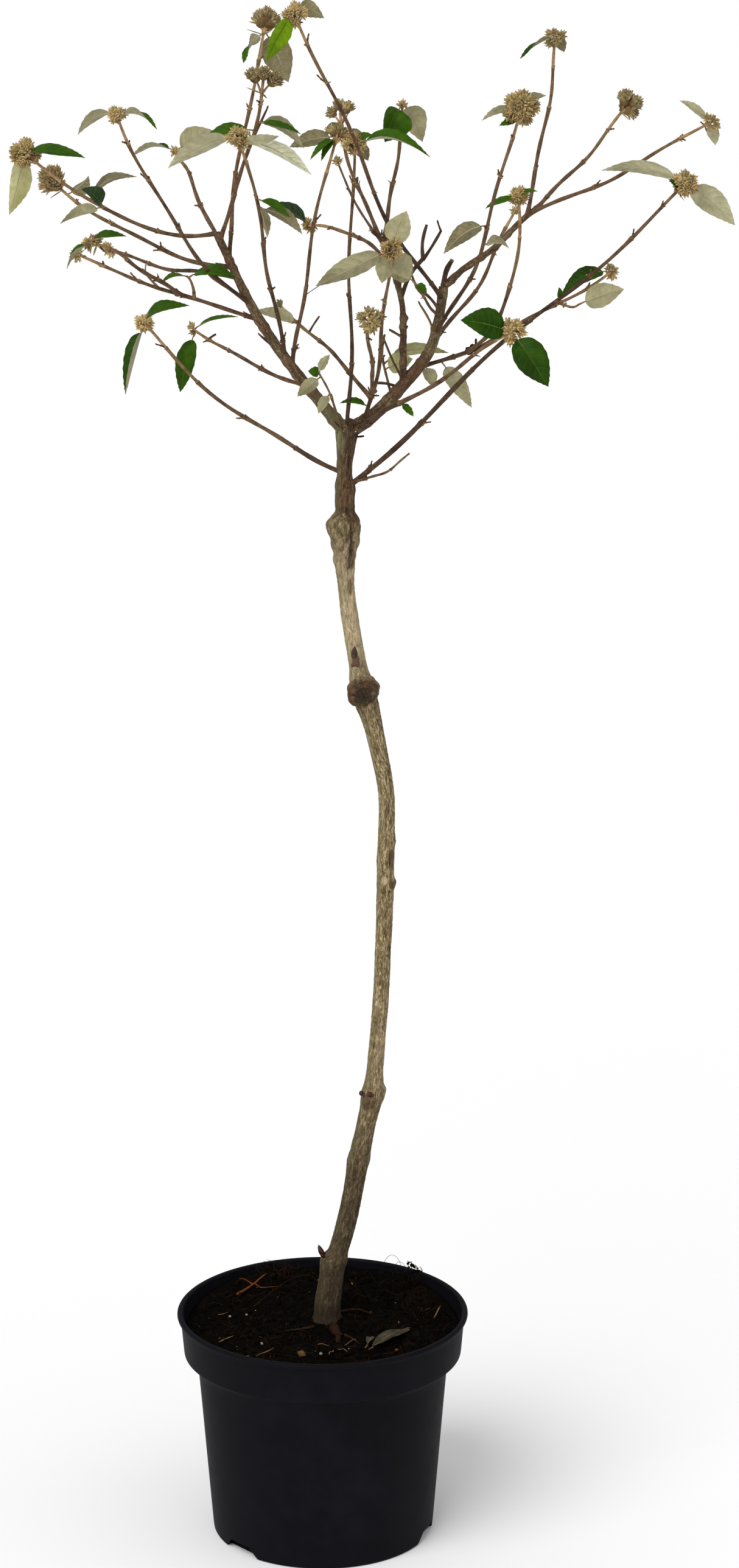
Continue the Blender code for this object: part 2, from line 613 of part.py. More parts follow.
def make_cutters(lines, cutters):
    """A copy of the trunk and of each bough, thicker by the gap, that trims what it carries."""
    grown = {"trunk": tube("trunk_clear", trunk_stations(GAP), 3, cutters)}
    for limb in BOUGHS:
        rings = lines[limb.name].stations(BOUGH_SPACING, GAP)
        grown[limb.name] = tube(limb.name + "_clear", rings, 2, cutters)
    return grown


def make_boughs(lines, cutters, parts, surface):
    for limb in BOUGHS:
        bough = tube(limb.node, lines[limb.name].stations(BOUGH_SPACING), 2, parts)
        boolean(bough, "DIFFERENCE", cutters[limb.parent])
        if limb.parent == "trunk" and limb.name == "right":
            boolean(bough, "DIFFERENCE", cutters["left"])
        keep_largest_piece(bough)
        finish(bough, surface)


def make_spray(node, lines, places, cutters, parts, surface):
    """One mass: its stem, the shoots on it, and their spurs, leaves and bud heads, fused and trimmed."""
    rows = [limb for limb in SHOOTS if limb.node == node]
    stem = tube(node, lines[rows[0].name].stations(SHOOT_SPACING), 0, parts)
    pieces = []
    for limb in rows:
        line = lines[limb.name]
        if limb is not rows[0]:
            pieces.append(tube("side", line.stations(SHOOT_SPACING), 0, parts))
        pieces += spurs(limb, line, places, parts)
        for number in range(len(limb.leaves)):
            pieces += leaf(limb, line, number, places, parts)
        if limb.head:
            pieces += bud_head(limb, line, parts)
    if pieces:
        join(stem, pieces)
    boolean(stem, "DIFFERENCE", cutters[rows[0].parent])
    keep_largest_piece(stem)
    finish(stem, surface)


def main():
    clear_scene()
    parts = new_collection("standard_viburnum")
    cutters = new_collection("cutters")
    lines = all_lines()
    places = limb_points(lines)
    bark, twig = material("bark"), material("twig")
    make_pot(parts, cutters)
    make_soil(parts)
    make_trunk(parts, bark)
    grown = make_cutters(lines, cutters)
    make_boughs(lines, grown, parts, bark)
    for node in dict.fromkeys(limb.node for limb in SHOOTS):
        make_spray(node, lines, places, grown, parts, twig)
    for cutter in cutters.objects:
        cutter.hide_render = True
        cutter.display_type = "WIRE"


main()
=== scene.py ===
"""Looks of the grafted standard viburnum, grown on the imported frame.

The stems are the CAD part's own, and so are the leaves, apart from eleven that are moved or resized. All are in
millimetres, right, back and up from the middle of the pot's underside. From them this script grows the same shoots
again with their nodes, buds, veined leaves and flower-bud heads, a trunk and boughs with relief in their bark, and
a finished pot and compost.
"""

import json
import random
from math import copysign, cos, exp, hypot, pi, radians, sin, sqrt
from typing import NamedTuple

import bpy
import numpy as np
from mathutils import Matrix, Vector, noise

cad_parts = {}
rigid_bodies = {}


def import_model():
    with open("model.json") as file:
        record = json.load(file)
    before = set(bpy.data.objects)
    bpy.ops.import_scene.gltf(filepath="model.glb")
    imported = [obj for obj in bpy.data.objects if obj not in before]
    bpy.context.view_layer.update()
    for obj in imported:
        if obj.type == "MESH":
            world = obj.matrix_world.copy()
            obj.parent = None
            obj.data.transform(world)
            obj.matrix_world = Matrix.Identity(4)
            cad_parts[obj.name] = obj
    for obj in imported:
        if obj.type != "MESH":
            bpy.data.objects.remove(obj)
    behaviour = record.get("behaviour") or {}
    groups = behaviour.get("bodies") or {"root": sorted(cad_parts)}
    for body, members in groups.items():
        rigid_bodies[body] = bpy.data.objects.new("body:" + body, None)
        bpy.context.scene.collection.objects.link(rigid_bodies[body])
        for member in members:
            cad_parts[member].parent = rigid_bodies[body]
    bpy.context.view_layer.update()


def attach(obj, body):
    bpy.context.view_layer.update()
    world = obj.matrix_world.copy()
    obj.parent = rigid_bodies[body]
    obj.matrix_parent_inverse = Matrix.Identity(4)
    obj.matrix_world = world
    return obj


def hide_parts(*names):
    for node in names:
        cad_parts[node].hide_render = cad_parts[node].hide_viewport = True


MM = 0.001
UP = Vector((0, 0, 1))

# The CAD part's sizes and tables, apart from a few leaves: one of i's hangs from f's tip here, and ten on a, h, i,
# p, q, r, y and z are moved a little or resized.
POT_HEIGHT = 207 * MM
RIM_RADIUS = 130 * MM
LIP_ROUND = 2.5 * MM
BAND_TOP_RADIUS = 127 * MM
BAND_FOOT_RADIUS = 124 * MM
BAND_HEIGHT = 38 * MM
SHOULDER_HEIGHT = 8 * MM
BODY_TOP_RADIUS = 112 * MM
BODY_FOOT_RADIUS = 99 * MM
FOOT_ROUND = 2.5 * MM
WALL = 2.2 * MM
NOTCH_COUNT = 3
NOTCH_FIRST_ANGLE = radians(-138)
NOTCH_HEIGHT = 10 * MM
NOTCH_FOOT_WIDTH = 43 * MM
NOTCH_TOP_WIDTH = 24 * MM
NOTCH_REACH = 9 * MM
SOIL_TOP = 187 * MM
TRUNK = (
    (187.3, 4, 21, 29), (196, 4, 21, 24.5), (232, 8, 20, 22), (248, 10, 20, 24), (258, 15, 20, 18.5),
    (310, 27, 19, 18), (342, 32, 18, 19), (371, 38, 17, 17), (406, 45, 17, 19), (430, 47, 16, 14.5),
    (516, 53, 14, 14), (611, 56, 12, 15), (673, 57, 11, 14), (730, 48, 10, 16), (760, 41, 9, 19),
    (778, 36, 9, 21), (797, 32, 9, 15.5), (868, 22, 7, 14.5), (890, 21, 7, 17.5), (908, 21, 6, 23),
    (923, 20, 6, 27.5), (934, 21, 6, 17), (942, 21, 5, 17), (968, 21, 5, 12.5), (990, 22, 4, 16),
    (1005, 24, 4, 19), (1012, 25, 4, 13),
)
STUB_HEIGHT = 777
STUB_RADIUS = 9 * MM
STUB_TILT = radians(12)


class Limb(NamedTuple):
    """One tapering limb: it leaves its parent at a share of that limb's length, or at a height on the trunk.

    A leaf is its share of the limb's length, its tip's reach to the right and rise, its lean, its arch and its width.
    """

    node: str
    name: str
    parent: str
    share: float
    tip: tuple
    bow: tuple
    girth: tuple
    head: float = 0
    leaves: tuple = ()


BOUGHS = (
    Limb("bough_left", "left", "trunk", 1000, (-85, -30, 1175), (-8, 1, -4), (11, 6)),
    Limb("bough_right", "right", "trunk", 1003, (105, 40, 1120), (16, 3, -13), (12, 8)),
    Limb("bough_right_upper", "right_upper", "right", 1.0, (185, 90, 1180), (-5, 0, -5), (5.5, 5)),
    Limb("bough_centre", "centre", "right", 0.4, (55, 30, 1165), (5, -6, 7), (5.5, 5)),
)
SHOOT = (4.2, 2.8)
TWIG = (2.8, 2.0)
SHOOTS = (
    Limb("spray_left_tip", "a", "left", 1.0, (-244, -15, 1240), (5, -7, -22), SHOOT, 26,
         ((1.0, 51, -3, 2, 0.2, 20), (1.0, -15, -54, -2, 0.12, 21), (0.69, 38, 18, -1, 0.24, 12),
          (0.62, -18, 16, 1, 0.2, 16), (0.62, -37, -15, -2, 0.12, 13))),
    Limb("spray_left_pair", "b", "left", 0.84, (-228, 70, 1206), (-1, -3, -14), SHOOT, 26,
         ((0.91, 18, 15, -2, -0.2, 18),)),
    Limb("spray_left_rear", "c", "left", 0.79, (-185, 160, 1135), (-1, 1, -4), SHOOT, 11),
    Limb("spray_left_low", "d", "left", 0.59, (-195, -120, 1170), (-5, 28, -6), SHOOT, 12),
    Limb("spray_left_low", "d_upper", "d", 0.42, (-180, -160, 1185), (-1, -4, 5), SHOOT, 18,
         ((1.0, 28, 6, 2, 0.33, 14), (1.0, -20, -20, 1, 0.2, 12))),
    Limb("spray_left_low", "d_inner", "d", 0.33, (-110, -35, 1140), (2, -5, 3), TWIG, 0,
         ((0.93, -22, -4, 0.7, 0.2, 10), (0.87, 40, 2, 1, 0.24, 18))),
    Limb("spray_left_front", "e", "left", 0.66, (-160, -140, 1285), (-8, -6, -12), SHOOT, 16,
         ((1.0, -32, -18, -0.7, 0.24, 14), (0.99, 32, -9, 0.5, 0.24, 14))),
    Limb("spray_left_bare", "f", "left", 0.94, (-125, 120, 1225), (-6, 4, 12), SHOOT, 6,
         ((1.0, -38, -5, -0.7, 0.18, 13), (1.0, 34, 16, -2, 0.1, 22))),
    Limb("spray_left_top", "g", "left", 0.97, (-44, -90, 1306), (6, 0, 8), SHOOT, 29,
         ((0.64, -44, -8, 2, 0.3, 16), (0.69, 36, -8, 1.5, 0.15, 12), (0.69, 38, -22, -2, 0.33, 13))),
    Limb("spray_summit_rear", "h", "left", 0.88, (-45, 60, 1341), (-6, 2, -15), SHOOT, 25,
         ((0.96, -17, -24, 1, 0.35, 17), (0.97, 20, -45, -2, 0.1, 25))),
    Limb("spray_middle_front", "i", "left", 0.42, (-62, -170, 1270), (3, 10, -2), SHOOT, 20,
         ((1.0, -57, -27, -2, 0.16, 20), (0.99, 57, -30, -1.5, 0.12, 18),
          (1.0, 32, 0, -1.5, -0.15, 12), (0.74, 27, -14, 1.5, 0.15, 13), (0.7, 35, -22, -2, 0.22, 14),
          (0.73, 8, -30, -2, 0.1, 12))),
    Limb("spray_middle_rear", "j", "left", 0.37, (15, 30, 1250), (-6, -11, -10), SHOOT, 22,
         ((0.99, -40, -10, -2, 0.12, 16), (0.99, -22, -18, 1, 0.1, 9), (0.99, -13, -19, 1, 0.1, 9))),
    Limb("spray_low_rear", "k", "left", 0.27, (-112, 150, 1066), (-2, -3, -3), SHOOT, 13,
         ((0.99, -13, -52, 2, 0.08, 18), (1.0, 39, 13, 0.7, 0.12, 11))),
    Limb("spray_upright", "l", "trunk", 990, (30, -30, 1250), (0, -12, -13), SHOOT, 22,
         ((1.0, 14, 7, 1, 0.1, 9), (0.99, 62, -7, 1, 0.24, 16), (1.0, 11, -16, -2, 0.1, 12))),
    Limb("spray_fork_twig", "m", "trunk", 985, (0, -45, 1060), (4, 0, 0), TWIG, 0,
         ((0.98, -10, 4, 1, 0.1, 9), (1.0, 9, 15, -1, 0.1, 7), (0.96, -20, -18, -2, 0.05, 11),
          (0.74, -10, -18, -1, 0.1, 8))),
    Limb("spray_centre_front", "n", "right", 0.1, (60, -120, 1175), (4, -4, 1), SHOOT, 20,
         ((1.0, -62, -34, -2, 0, 20), (0.98, 14, -24, -2, 0.1, 20), (0.98, -8, -27, -2, 0.1, 18),
          (1.0, 12, 29, -2, 0.1, 21), (0.08, -24, 5, 1, 0.25, 8))),
    Limb("spray_centre_front", "n_front", "n", 0.18, (43, -180, 1126), (-2, -1, 6), SHOOT, 23),
    Limb("spray_centre_front", "n_rear", "n", 0.14, (-33, 100, 1091), (-4, 6, 7), SHOOT, 16,
         ((0.76, -40, 10, -2, 0.15, 12),)),
    Limb("spray_centre_left", "o", "centre", 0.7, (-10, 130, 1160), (5, -6, 12), SHOOT, 13,
         ((1.0, -33, 21, 1.5, 0.15, 18),)),
    Limb("spray_centre_rear", "p", "centre", 0.84, (17, 80, 1262), (-7, -3, 0), SHOOT, 26,
         ((0.94, -14, -12, 1, 0.1, 9), (0.9, 20, -27, -2, 0.1, 19))),
    Limb("spray_centre_rear", "p_side", "p", 0.08, (15, 50, 1225), (-4, 0, 0), TWIG, 8),
    Limb("spray_centre_right", "q", "centre", 1.0, (70, 60, 1271), (1, 0, -1), SHOOT, 5,
         ((1.0, -15, -30, 2, 0.28, 29), (1.0, 17, -32, -2, 0.28, 22))),
    Limb("spray_summit", "r", "right", 0.94, (-18, -130, 1364), (-1, -15, -13), SHOOT, 22,
         ((1.0, 24, -5, -2, 0.35, 14), (1.0, -22, -37, 2, 0.12, 17))),
    Limb("spray_right_top", "s", "right_upper", 0.92, (199, 80, 1326), (4, 5, 5), SHOOT, 17,
         ((1.0, -30, -17, 1.5, 0.25, 11), (1.0, 8, -13, -2, 0.1, 11))),
    Limb("spray_right_rear", "t", "right_upper", 1.0, (267, 160, 1262), (-2, -4, -5), SHOOT, 24),
    Limb("spray_right_tip", "u", "right_upper", 0.96, (327, 20, 1261), (-2, 6, -6), SHOOT, 15,
         ((0.99, -24, 18, -1, 0.12, 9), (1.0, 5, -20, -2, 0.1, 11))),
    Limb("spray_right_front", "v", "right", 0.76, (164, -120, 1289), (4, 3, -15), SHOOT, 32,
         ((0.99, -31, -10, -1, 0.15, 9), (1.0, 20, 8, -1, 0.15, 9), (0.95, -15, -3, 1, 0.12, 7),
          (0.57, -36, -25, -2, 0.28, 16), (0.49, 22, -3, -0.5, 0.2, 13))),
    Limb("spray_right_far", "w", "right", 0.68, (170, 190, 1165), (6, -1, 1), SHOOT, 9),
    Limb("spray_inner_stub", "x", "right", 0.85, (80, -10, 1130), (-3, -3, 2), TWIG, 0,
         ((1.0, -29, 21, -2, 0.1, 20), (1.0, 10, -7, 1, 0.1, 7))),
    Limb("spray_inner_twig", "y", "right", 0.31, (55, 65, 1075), (-4, 2, 2), TWIG, 0,
         ((0.48, 56, 7, -2, 0.22, 14), (0.4, 24, 8, -2, 0.1, 17))),
    Limb("spray_right_middle", "z", "right", 0.53, (252, 140, 1118), (5, -3, -5), SHOOT, 11,
         ((1.0, -43, -17, 1, 0.25, 16), (0.1, 27, -43, -2, 0.05, 15), (0.03, 8, -20, -2, 0.1, 12))),
    Limb("spray_right_middle", "z_front", "z", 0.22, (167, 20, 1200), (14, -5, -17), SHOOT, 18,
         ((0.99, -28, -8, 1, 0.12, 10), (1.0, 16, 4, 1, 0.15, 7))),
    Limb("spray_right_long", "aa", "trunk", 952, (302, -50, 1219), (4, 2, 0), (5.5, 3), 24,
         ((1.0, -68, 8, -2, 0.17, 15), (1.0, 43, -37, -2, 0.1, 22), (0.98, -9, 9, 1, 0.1, 6),
          (0.62, -1, 10, 1, 0.1, 6))),
    Limb("spray_right_long", "aa_foot", "aa", 0.03, (75, -60, 995), (-1, -2, -5), TWIG),
    Limb("spray_right_long", "aa_side", "aa", 0.61, (215, -60, 1120), (1, -7, -2), TWIG, 0,
         ((1.0, 38, 11, -2, 0.05, 20),)),
    Limb("spray_right_low", "ab", "trunk", 998, (157, -180, 1117), (5, -2, 4), (4.8, 3), 22,
         ((0.98, -40, 12, 2, 0.12, 26), (0.99, 29, -42, 2, 0.1, 28), (0.9, -8, 8, 1, 0.1, 6),
          (0.31, 11, -11, 1, 0.1, 6))),
    Limb("spray_left_lowest", "ac", "trunk", 966, (-154, 120, 1077), (0, -2, -17), (4.8, 3), 18,
         ((1.0, 40, 17, 1.5, 0.33, 16), (1.0, -16, -60, 1.5, 0.2, 17))),
)
SWING = 0.012
FIRST_INTERNODE = 28 * MM
INTERNODE_GROWTH = 1.35
LONGEST_INTERNODE = 62 * MM
SPUR_CHANCE = 0.3
SPUR_LENGTH = (7 * MM, 15 * MM)
SPUR_RADIUS = 1.1 * MM
SPUR_SHOWN = 0.62  # the share of a spur's solid that is shown
SPUR_SPREAD = radians(42)
CLEARANCE = 3.5 * MM
LEAF_TURN = (-0.3, 0.3)
LEAF_FOLD = (0.25, 0.55)
LEAF_DEPTH_SHARE = 0.3
PETIOLE_SHARE = 0.16
LEAF_CLEARANCE = 0.5 * MM
GOLDEN_TURN = pi * (3 - sqrt(5))

# What each limb's leaves wear, in the order of its row: the green face's tint, then the felted face's.
LEAF_TINTS = {
    "a": "bg dg dk um dm", "b": "dk", "d_upper": "bm bm", "d_inner": "bm bm", "e": "dm bm", "f": "dm dm",
    "g": "bm bm dm", "h": "bm dk", "i": "dp ds dp bk dk dk", "j": "dk bk bk", "k": "bm bm",
    "l": "bm bm dk", "m": "bm dm dm dm", "n": "dm dm dm dm bm", "n_rear": "dm", "o": "um",
    "p": "bk dk", "q": "bm dm", "r": "dk lg", "s": "dk dk", "u": "dp dp", "v": "dm dm bm dk dm",
    "x": "dk bk", "y": "dg dg", "z": "dm dm dm", "z_front": "bm bm", "aa": "dp dp bg bg", "aa_side": "dm",
    "ab": "dm dm bg bg", "ac": "bm dm",
}
# The u green is a dark blue-green that paints shade on a leaf's upper face.
GREENS = {"b": "leaf_bright", "d": "leaf_deep", "l": "leaf_lime", "u": "leaf_blue"}
FELTS = {"p": "felt_pale", "g": "felt_green", "m": "felt_mid", "k": "felt_khaki", "s": "felt_silver"}
# How each leaf is held: how squarely its blade faces the camera at its foot and at its tip (below 0 the felted
# face shows), how far its halves fold up, and which way it turns where it hangs.
LEAF_FORMS = {
    "a": ((0.55, 0.6, 0.35), (-0.95, -0.85, 0.45, 1), (-0.5, -0.45, 0.3), (0.9, 0.7, 0.7), (-0.8, -0.2, 0.5)),
    "b": ((-0.8, -0.6, 0.55, 1),),
    "d_upper": ((0.5, 0.55, 0.45), (0.6, -0.2, 0.6)),
    "d_inner": ((0.45, 0.5, 0.3), (0.55, 0.65, 0.2)),
    "e": ((-0.45, -0.4, 0.3), (-0.35, 0.6, 0.55)),
    "f": ((0.35, -0.5, 0.5), (-0.95, -0.95, 0.25)),
    "g": ((0.7, 0.8, 0.3), (0.6, 0.5, 0.4), (-0.85, -0.6, 0.5)),
    "h": ((-0.8, 0.95, 0.35), (-1, -1, 0.25, 1)),
    "i": ((-0.5, -0.6, 0.3), (-0.4, -0.55, 0.35), (-0.6, -0.5, 0.3), (0.6, 0.6, 0.4),
          (-0.6, -0.75, 0.4), (-0.65, -0.6, 0.4, 1)),
    "j": ((-0.7, -0.75, 0.3), (0.7, 0.6, 0.5), (0.7, 0.6, 0.5)),
    "k": ((0.9, 1, 0.4, -1), (0.4, 0.4, 0.35)),
    "l": ((0.8, 0.8, 0.3), (0.65, 0.45, 0.75), (-0.9, -0.9, 0.3, 1)),
    "n": ((-0.8, -0.75, 0.3), (-0.95, -0.9, 0.3, 1), (-0.95, -0.9, 0.3, -1), (-1, -0.95, 0.25, 1), (0.7, 0.7, 0.3)),
    "n_rear": ((-0.85, -0.7, 0.3),),
    "o": ((0.6, 0.7, 0.4),),
    "p": ((0.8, 0.7, 0.4), (-0.9, -0.8, 0.4, 1)),
    "q": ((0.9, 0.75, 0.8, 1), (-1, -0.95, 0.2, 1)),
    "r": ((-0.9, -0.9, 0.4), (0.8, 0.75, 0.35, 1)),
    "s": ((-0.4, 0.8, 0.5), (-0.9, -0.7, 0.4, 1)),
    "u": ((-0.6, -0.6, 0.3), (-0.9, -0.8, 0.4, 1)),
    "v": ((-0.6, -0.5, 0.4), (-0.6, -0.6, 0.3), (0.8, 0.8, 0.3), (-0.8, -0.9, 0.35), (-0.8, 0.1, 0.5)),
    "y": ((-0.7, -0.6, 0.3), (-1, -0.9, 0.3)),
    "z": ((0.85, 0.9, 0.35), (-1, -0.9, 0.35, 1), (-0.9, -0.9, 0.3, 1)),
    "z_front": ((0.65, 0.6, 0.4), (0.7, 0.5, 0.4)),
    "aa": ((-0.62, -0.6, 0.3), (-0.85, -0.9, 0.3, 1), (0.8, 0.7, 0.5), (0.8, 0.7, 0.5)),
    "ac": ((0.65, 0.7, 0.35), (0.5, 0.3, 0.95, -1)),
}
# Heads with more or fewer sub-heads than usual, heads shown larger than their solids, and heads with more bracts.
SUB_HEADS = {"a": 7, "b": 5, "g": 3, "h": 4, "j": 4, "p": 3, "t": 6, "n_rear": 3, "k": 2, "d": 1, "d_upper": 2}
HEAD_GROWN = {"t": 1.25, "b": 1.2, "h": 1.15, "a": 1.08, "s": 1.12}
BRACTED = {"r": 6, "i": 5, "v": 3, "aa": 4, "d_upper": 4, "n": 3, "ab": 3, "ac": 3}


# -------- materials


def tint(red, green, blue):
    """A colour on a screen's 0 to 255 scale as the shader's linear one."""
    shares = [channel / 255 for channel in (red, green, blue)]
    return [s / 12.92 if s <= 0.04045 else ((s + 0.055) / 1.055) ** 2.4 for s in shares] + [1]


class Look(NamedTuple):
    """A natural surface: a dark and a light colour mixed by noise, with a rarer third, and fine relief."""

    dark: tuple
    light: tuple
    rare: tuple
    scale: float
    roughness: float = 0.8
    bump: float = 0.3
    specular: float = 0.12
    sheen: float = 0
    rare_share: float = 0.3


# What looks of one kind share, from the scale on.
TWIG_BARK = (520, 0.75, 0.5)
BUD_SCALE = (420, 0.85, 0.3, 0.1, 0.2)
DULL_SCALE = (420, 0.88, 0.3, 0.1, 0.2)
FELT = (170, 0.92, 0.35, 0.08, 0.3, 0.25)
LOOKS = {
    "cut_wood": Look((66, 55, 42), (98, 86, 66), (52, 42, 32), 420, 0.9, 0.8),
    "knob": Look((78, 57, 44), (112, 86, 67), (60, 45, 36), 500, 0.8, 0.6),
    "scale_dark": Look((60, 48, 38), (88, 72, 57), (46, 37, 30), 480, 0.75, 0.6),
    "cut_pale": Look((120, 104, 78), (158, 140, 110), (92, 76, 54), 500, 0.9, 0.6),
    "cut_dark": Look((40, 32, 26), (66, 54, 43), (30, 24, 20), 500, 0.9, 0.5),
    "red_bud": Look((44, 16, 14), (72, 30, 24), (32, 14, 12), 500, 0.35, 0.2, 0.3),
    "twig_tip": Look((142, 114, 78), (176, 147, 105), (118, 88, 56), 520),
    "twig_tan": Look((104, 80, 54), (134, 109, 78), (80, 58, 37), *TWIG_BARK),
    "twig_brown": Look((82, 61, 42), (115, 90, 66), (64, 44, 28), *TWIG_BARK),
    "twig_dark": Look((62, 46, 33), (90, 69, 50), (48, 35, 25), 480, 0.75, 0.6),
    "scar": Look((176, 152, 114), (208, 188, 150), (140, 112, 78), 700),
    "twig_bud": Look((100, 68, 44), (142, 104, 68), (76, 50, 34), 700, 0.6),
    "bud_gold": Look((172, 144, 84), (209, 185, 129), (140, 110, 58), *BUD_SCALE),
    "bud_straw": Look((198, 174, 116), (230, 210, 158), (166, 140, 86), *BUD_SCALE),
    "bud_tan": Look((153, 125, 75), (190, 165, 110), (120, 93, 53), *BUD_SCALE),
    "bud_olive": Look((134, 120, 77), (168, 153, 105), (104, 89, 54), *DULL_SCALE),
    "bud_grey": Look((112, 100, 67), (146, 133, 96), (88, 75, 48), *DULL_SCALE),
    "bud_shade": Look((96, 76, 46), (134, 108, 70), (76, 58, 36), 420, 0.9),
    "bud_tip": Look((96, 76, 50), (132, 108, 74), (70, 54, 36), 600, 0.8),
    "leaf_bright": Look((40, 72, 3), (59, 92, 7), (32, 58, 3), 130, 0.5, 0.25, 0.07, 0, 0.25),
    "leaf_deep": Look((30, 58, 3), (43, 73, 6), (24, 46, 3), 130, 0.48, 0.25, 0.07, 0, 0.25),
    "leaf_lime": Look((90, 124, 6), (114, 146, 12), (74, 104, 6), 130, 0.5, 0.25, 0.08, 0, 0.25),
    # a leaf green darkened and blued as painted shade
    "leaf_blue": Look((32, 47, 27), (46, 62, 38), (25, 37, 20), 130, 0.5, 0.25, 0.1, 0, 0.25),
    "leaf_rib": Look((54, 86, 16), (72, 104, 26), (44, 72, 12), 200, 0.5, 0.1, 0.08),
    "felt_pale": Look((152, 148, 115), (180, 175, 140), (136, 130, 96), *FELT),
    "felt_green": Look((150, 148, 98), (180, 177, 124), (134, 130, 82), *FELT),
    "felt_mid": Look((134, 129, 96), (162, 156, 120), (116, 110, 78), *FELT),
    "felt_khaki": Look((112, 104, 74), (140, 131, 96), (94, 86, 58), *FELT),
    "felt_silver": Look((174, 174, 142), (208, 207, 178), (154, 152, 120), 170, 0.6, 0.3, 0.3, 0.2, 0.25),
    "felt_rib": Look((150, 143, 108), (174, 167, 130), (132, 124, 90), 300, 0.88, 0.2, 0.08, 0.2),
    "petiole": Look((112, 96, 60), (146, 126, 86), (116, 76, 50), 400, 0.65),
    "pot": Look((12, 12, 16), (16, 16, 21), (20, 20, 26), 60, 0.58, 0.1, 0.04, 0, 0.2),
    "peat": Look((5, 4, 3), (11, 8, 6), (21, 14, 9), 700, 1.0, 1.0, 0.02, 0, 0.2),
    "peat_brown": Look((11, 8, 5), (23, 15, 9), (9, 6, 4), 700, 1.0, 0.8, 0.02),
    "root_brown": Look((30, 19, 12), (54, 34, 22), (22, 14, 9), 600, 0.9, 0.4, 0.05),
    "root_rust": Look((92, 46, 20), (126, 68, 32), (66, 35, 17), 500, 0.85, 0.4, 0.05),
    "straw": Look((92, 68, 40), (134, 106, 70), (66, 47, 29), 500, 0.8, 0.3, 0.06),
    "perlite": Look((140, 136, 122), (176, 172, 156), (110, 104, 90), 600, 0.85),
    "dead_leaf": Look((50, 48, 38), (78, 75, 60), (36, 32, 25), 260, 0.9, 0.4, 0.05),
}
# The bark's colours: a dark, a middle and a light one for the stock and for what is grafted on it.
STOCK = ((76, 61, 38), (123, 106, 74), (176, 157, 121))
SCION = ((43, 31, 22), (74, 54, 39), (111, 86, 63))
WORN, RUST_AND_SHADE, MOSS_AND_SHADE, DIRT, FURROW_AND_SHADE = (98, 84, 60), (102, 74, 53), (118, 116, 84), (38, 29, 21), (50, 40, 28)
PALE, FLAKE = (204, 184, 150), (212, 196, 162)


def add_node(tree, kind, **values):
    """A shader node with its sockets or settings given by name, spaces written as _."""
    added = tree.nodes.new(kind)
    for key, value in values.items():
        socket = added.inputs.get(key.replace("_", " "))
        if socket is not None:
            socket.default_value = value
        else:
            setattr(added, key, value)
    return added


def new_material(name):
    """A material, its tree and its shader."""
    made = bpy.data.materials.new(name)
    made.use_nodes = True
    return made, made.node_tree, made.node_tree.nodes["Principled BSDF"]


def set_sockets(shader, **values):
    for key, value in values.items():
        shader.inputs[key.replace("_", " ")].default_value = value


def mix(tree, share, low, high):
    """A colour mixed from two by a share. Each is a colour or another node's output."""
    mixed = add_node(tree, "ShaderNodeMix", data_type="RGBA")
    for socket, value in ((mixed.inputs[6], low), (mixed.inputs[7], high)):
        if isinstance(value, tuple):
            socket.default_value = tint(*value)
        else:
            tree.links.new(value, socket)
    tree.links.new(share, mixed.inputs[0])
    return mixed.outputs[2]


def ramp(tree, share, colours, low=0.32, high=0.68):
    made = add_node(tree, "ShaderNodeValToRGB")
    stops = made.color_ramp.elements
    while len(stops) < len(colours):
        stops.new(0.5)
    for i, colour in enumerate(colours):
        stops[i].position = low + (high - low) * i / (len(colours) - 1)
        stops[i].color = tint(*colour)
    tree.links.new(share, made.inputs["Fac"])
    return made.outputs["Color"]


def banded(tree, share, low, high, least=0.0, most=1.0):
    """The least where a share is below low, the most where it is over high, and in between between them."""
    band = add_node(tree, "ShaderNodeMapRange", From_Min=low, From_Max=high, To_Min=least, To_Max=most)
    tree.links.new(share, band.inputs["Value"])
    return band.outputs["Result"]


def grained(tree, place, scale, detail, roughness, bent=0.0):
    """Noise at a place, from 0 to 1."""
    texture = add_node(tree, "ShaderNodeTexNoise", Scale=scale, Detail=detail, Roughness=roughness, Distortion=bent)
    tree.links.new(place, texture.inputs["Vector"])
    return texture.outputs["Fac"]


def finish_surface(tree, shader, colour, grain, roughness, bump, distance):
    """The shader's colour, and roughness and relief that follow the grain."""
    relief = add_node(tree, "ShaderNodeBump", Strength=bump, Distance=distance)
    rough = banded(tree, grain, 0, 1, max(roughness - 0.1, 0.05), min(roughness + 0.1, 1))
    for output, socket in ((colour, shader.inputs["Base Color"]), (rough, shader.inputs["Roughness"]),
                           (grain, relief.inputs["Height"]), (relief.outputs["Normal"], shader.inputs["Normal"])):
        tree.links.new(output, socket)


def surface(name):
    """The named look as a procedural material."""
    look = LOOKS[name]
    made, tree, shader = new_material(name)
    place = add_node(tree, "ShaderNodeTexCoord").outputs["Object"]
    grain = grained(tree, place, look.scale, 5, 0.6)
    blotch = grained(tree, place, look.scale / 5, 3, 0.55)
    rare = banded(tree, blotch, 0.75 - look.rare_share, 0.9 - look.rare_share * 0.6)
    colour = mix(tree, rare, ramp(tree, grain, (look.dark, look.light)), look.rare)
    finish_surface(tree, shader, colour, grain, look.roughness, look.bump, 0.5 * MM)
    set_sockets(shader, Specular_IOR_Level=look.specular, Sheen_Weight=look.sheen, Sheen_Roughness=0.5)
    return made


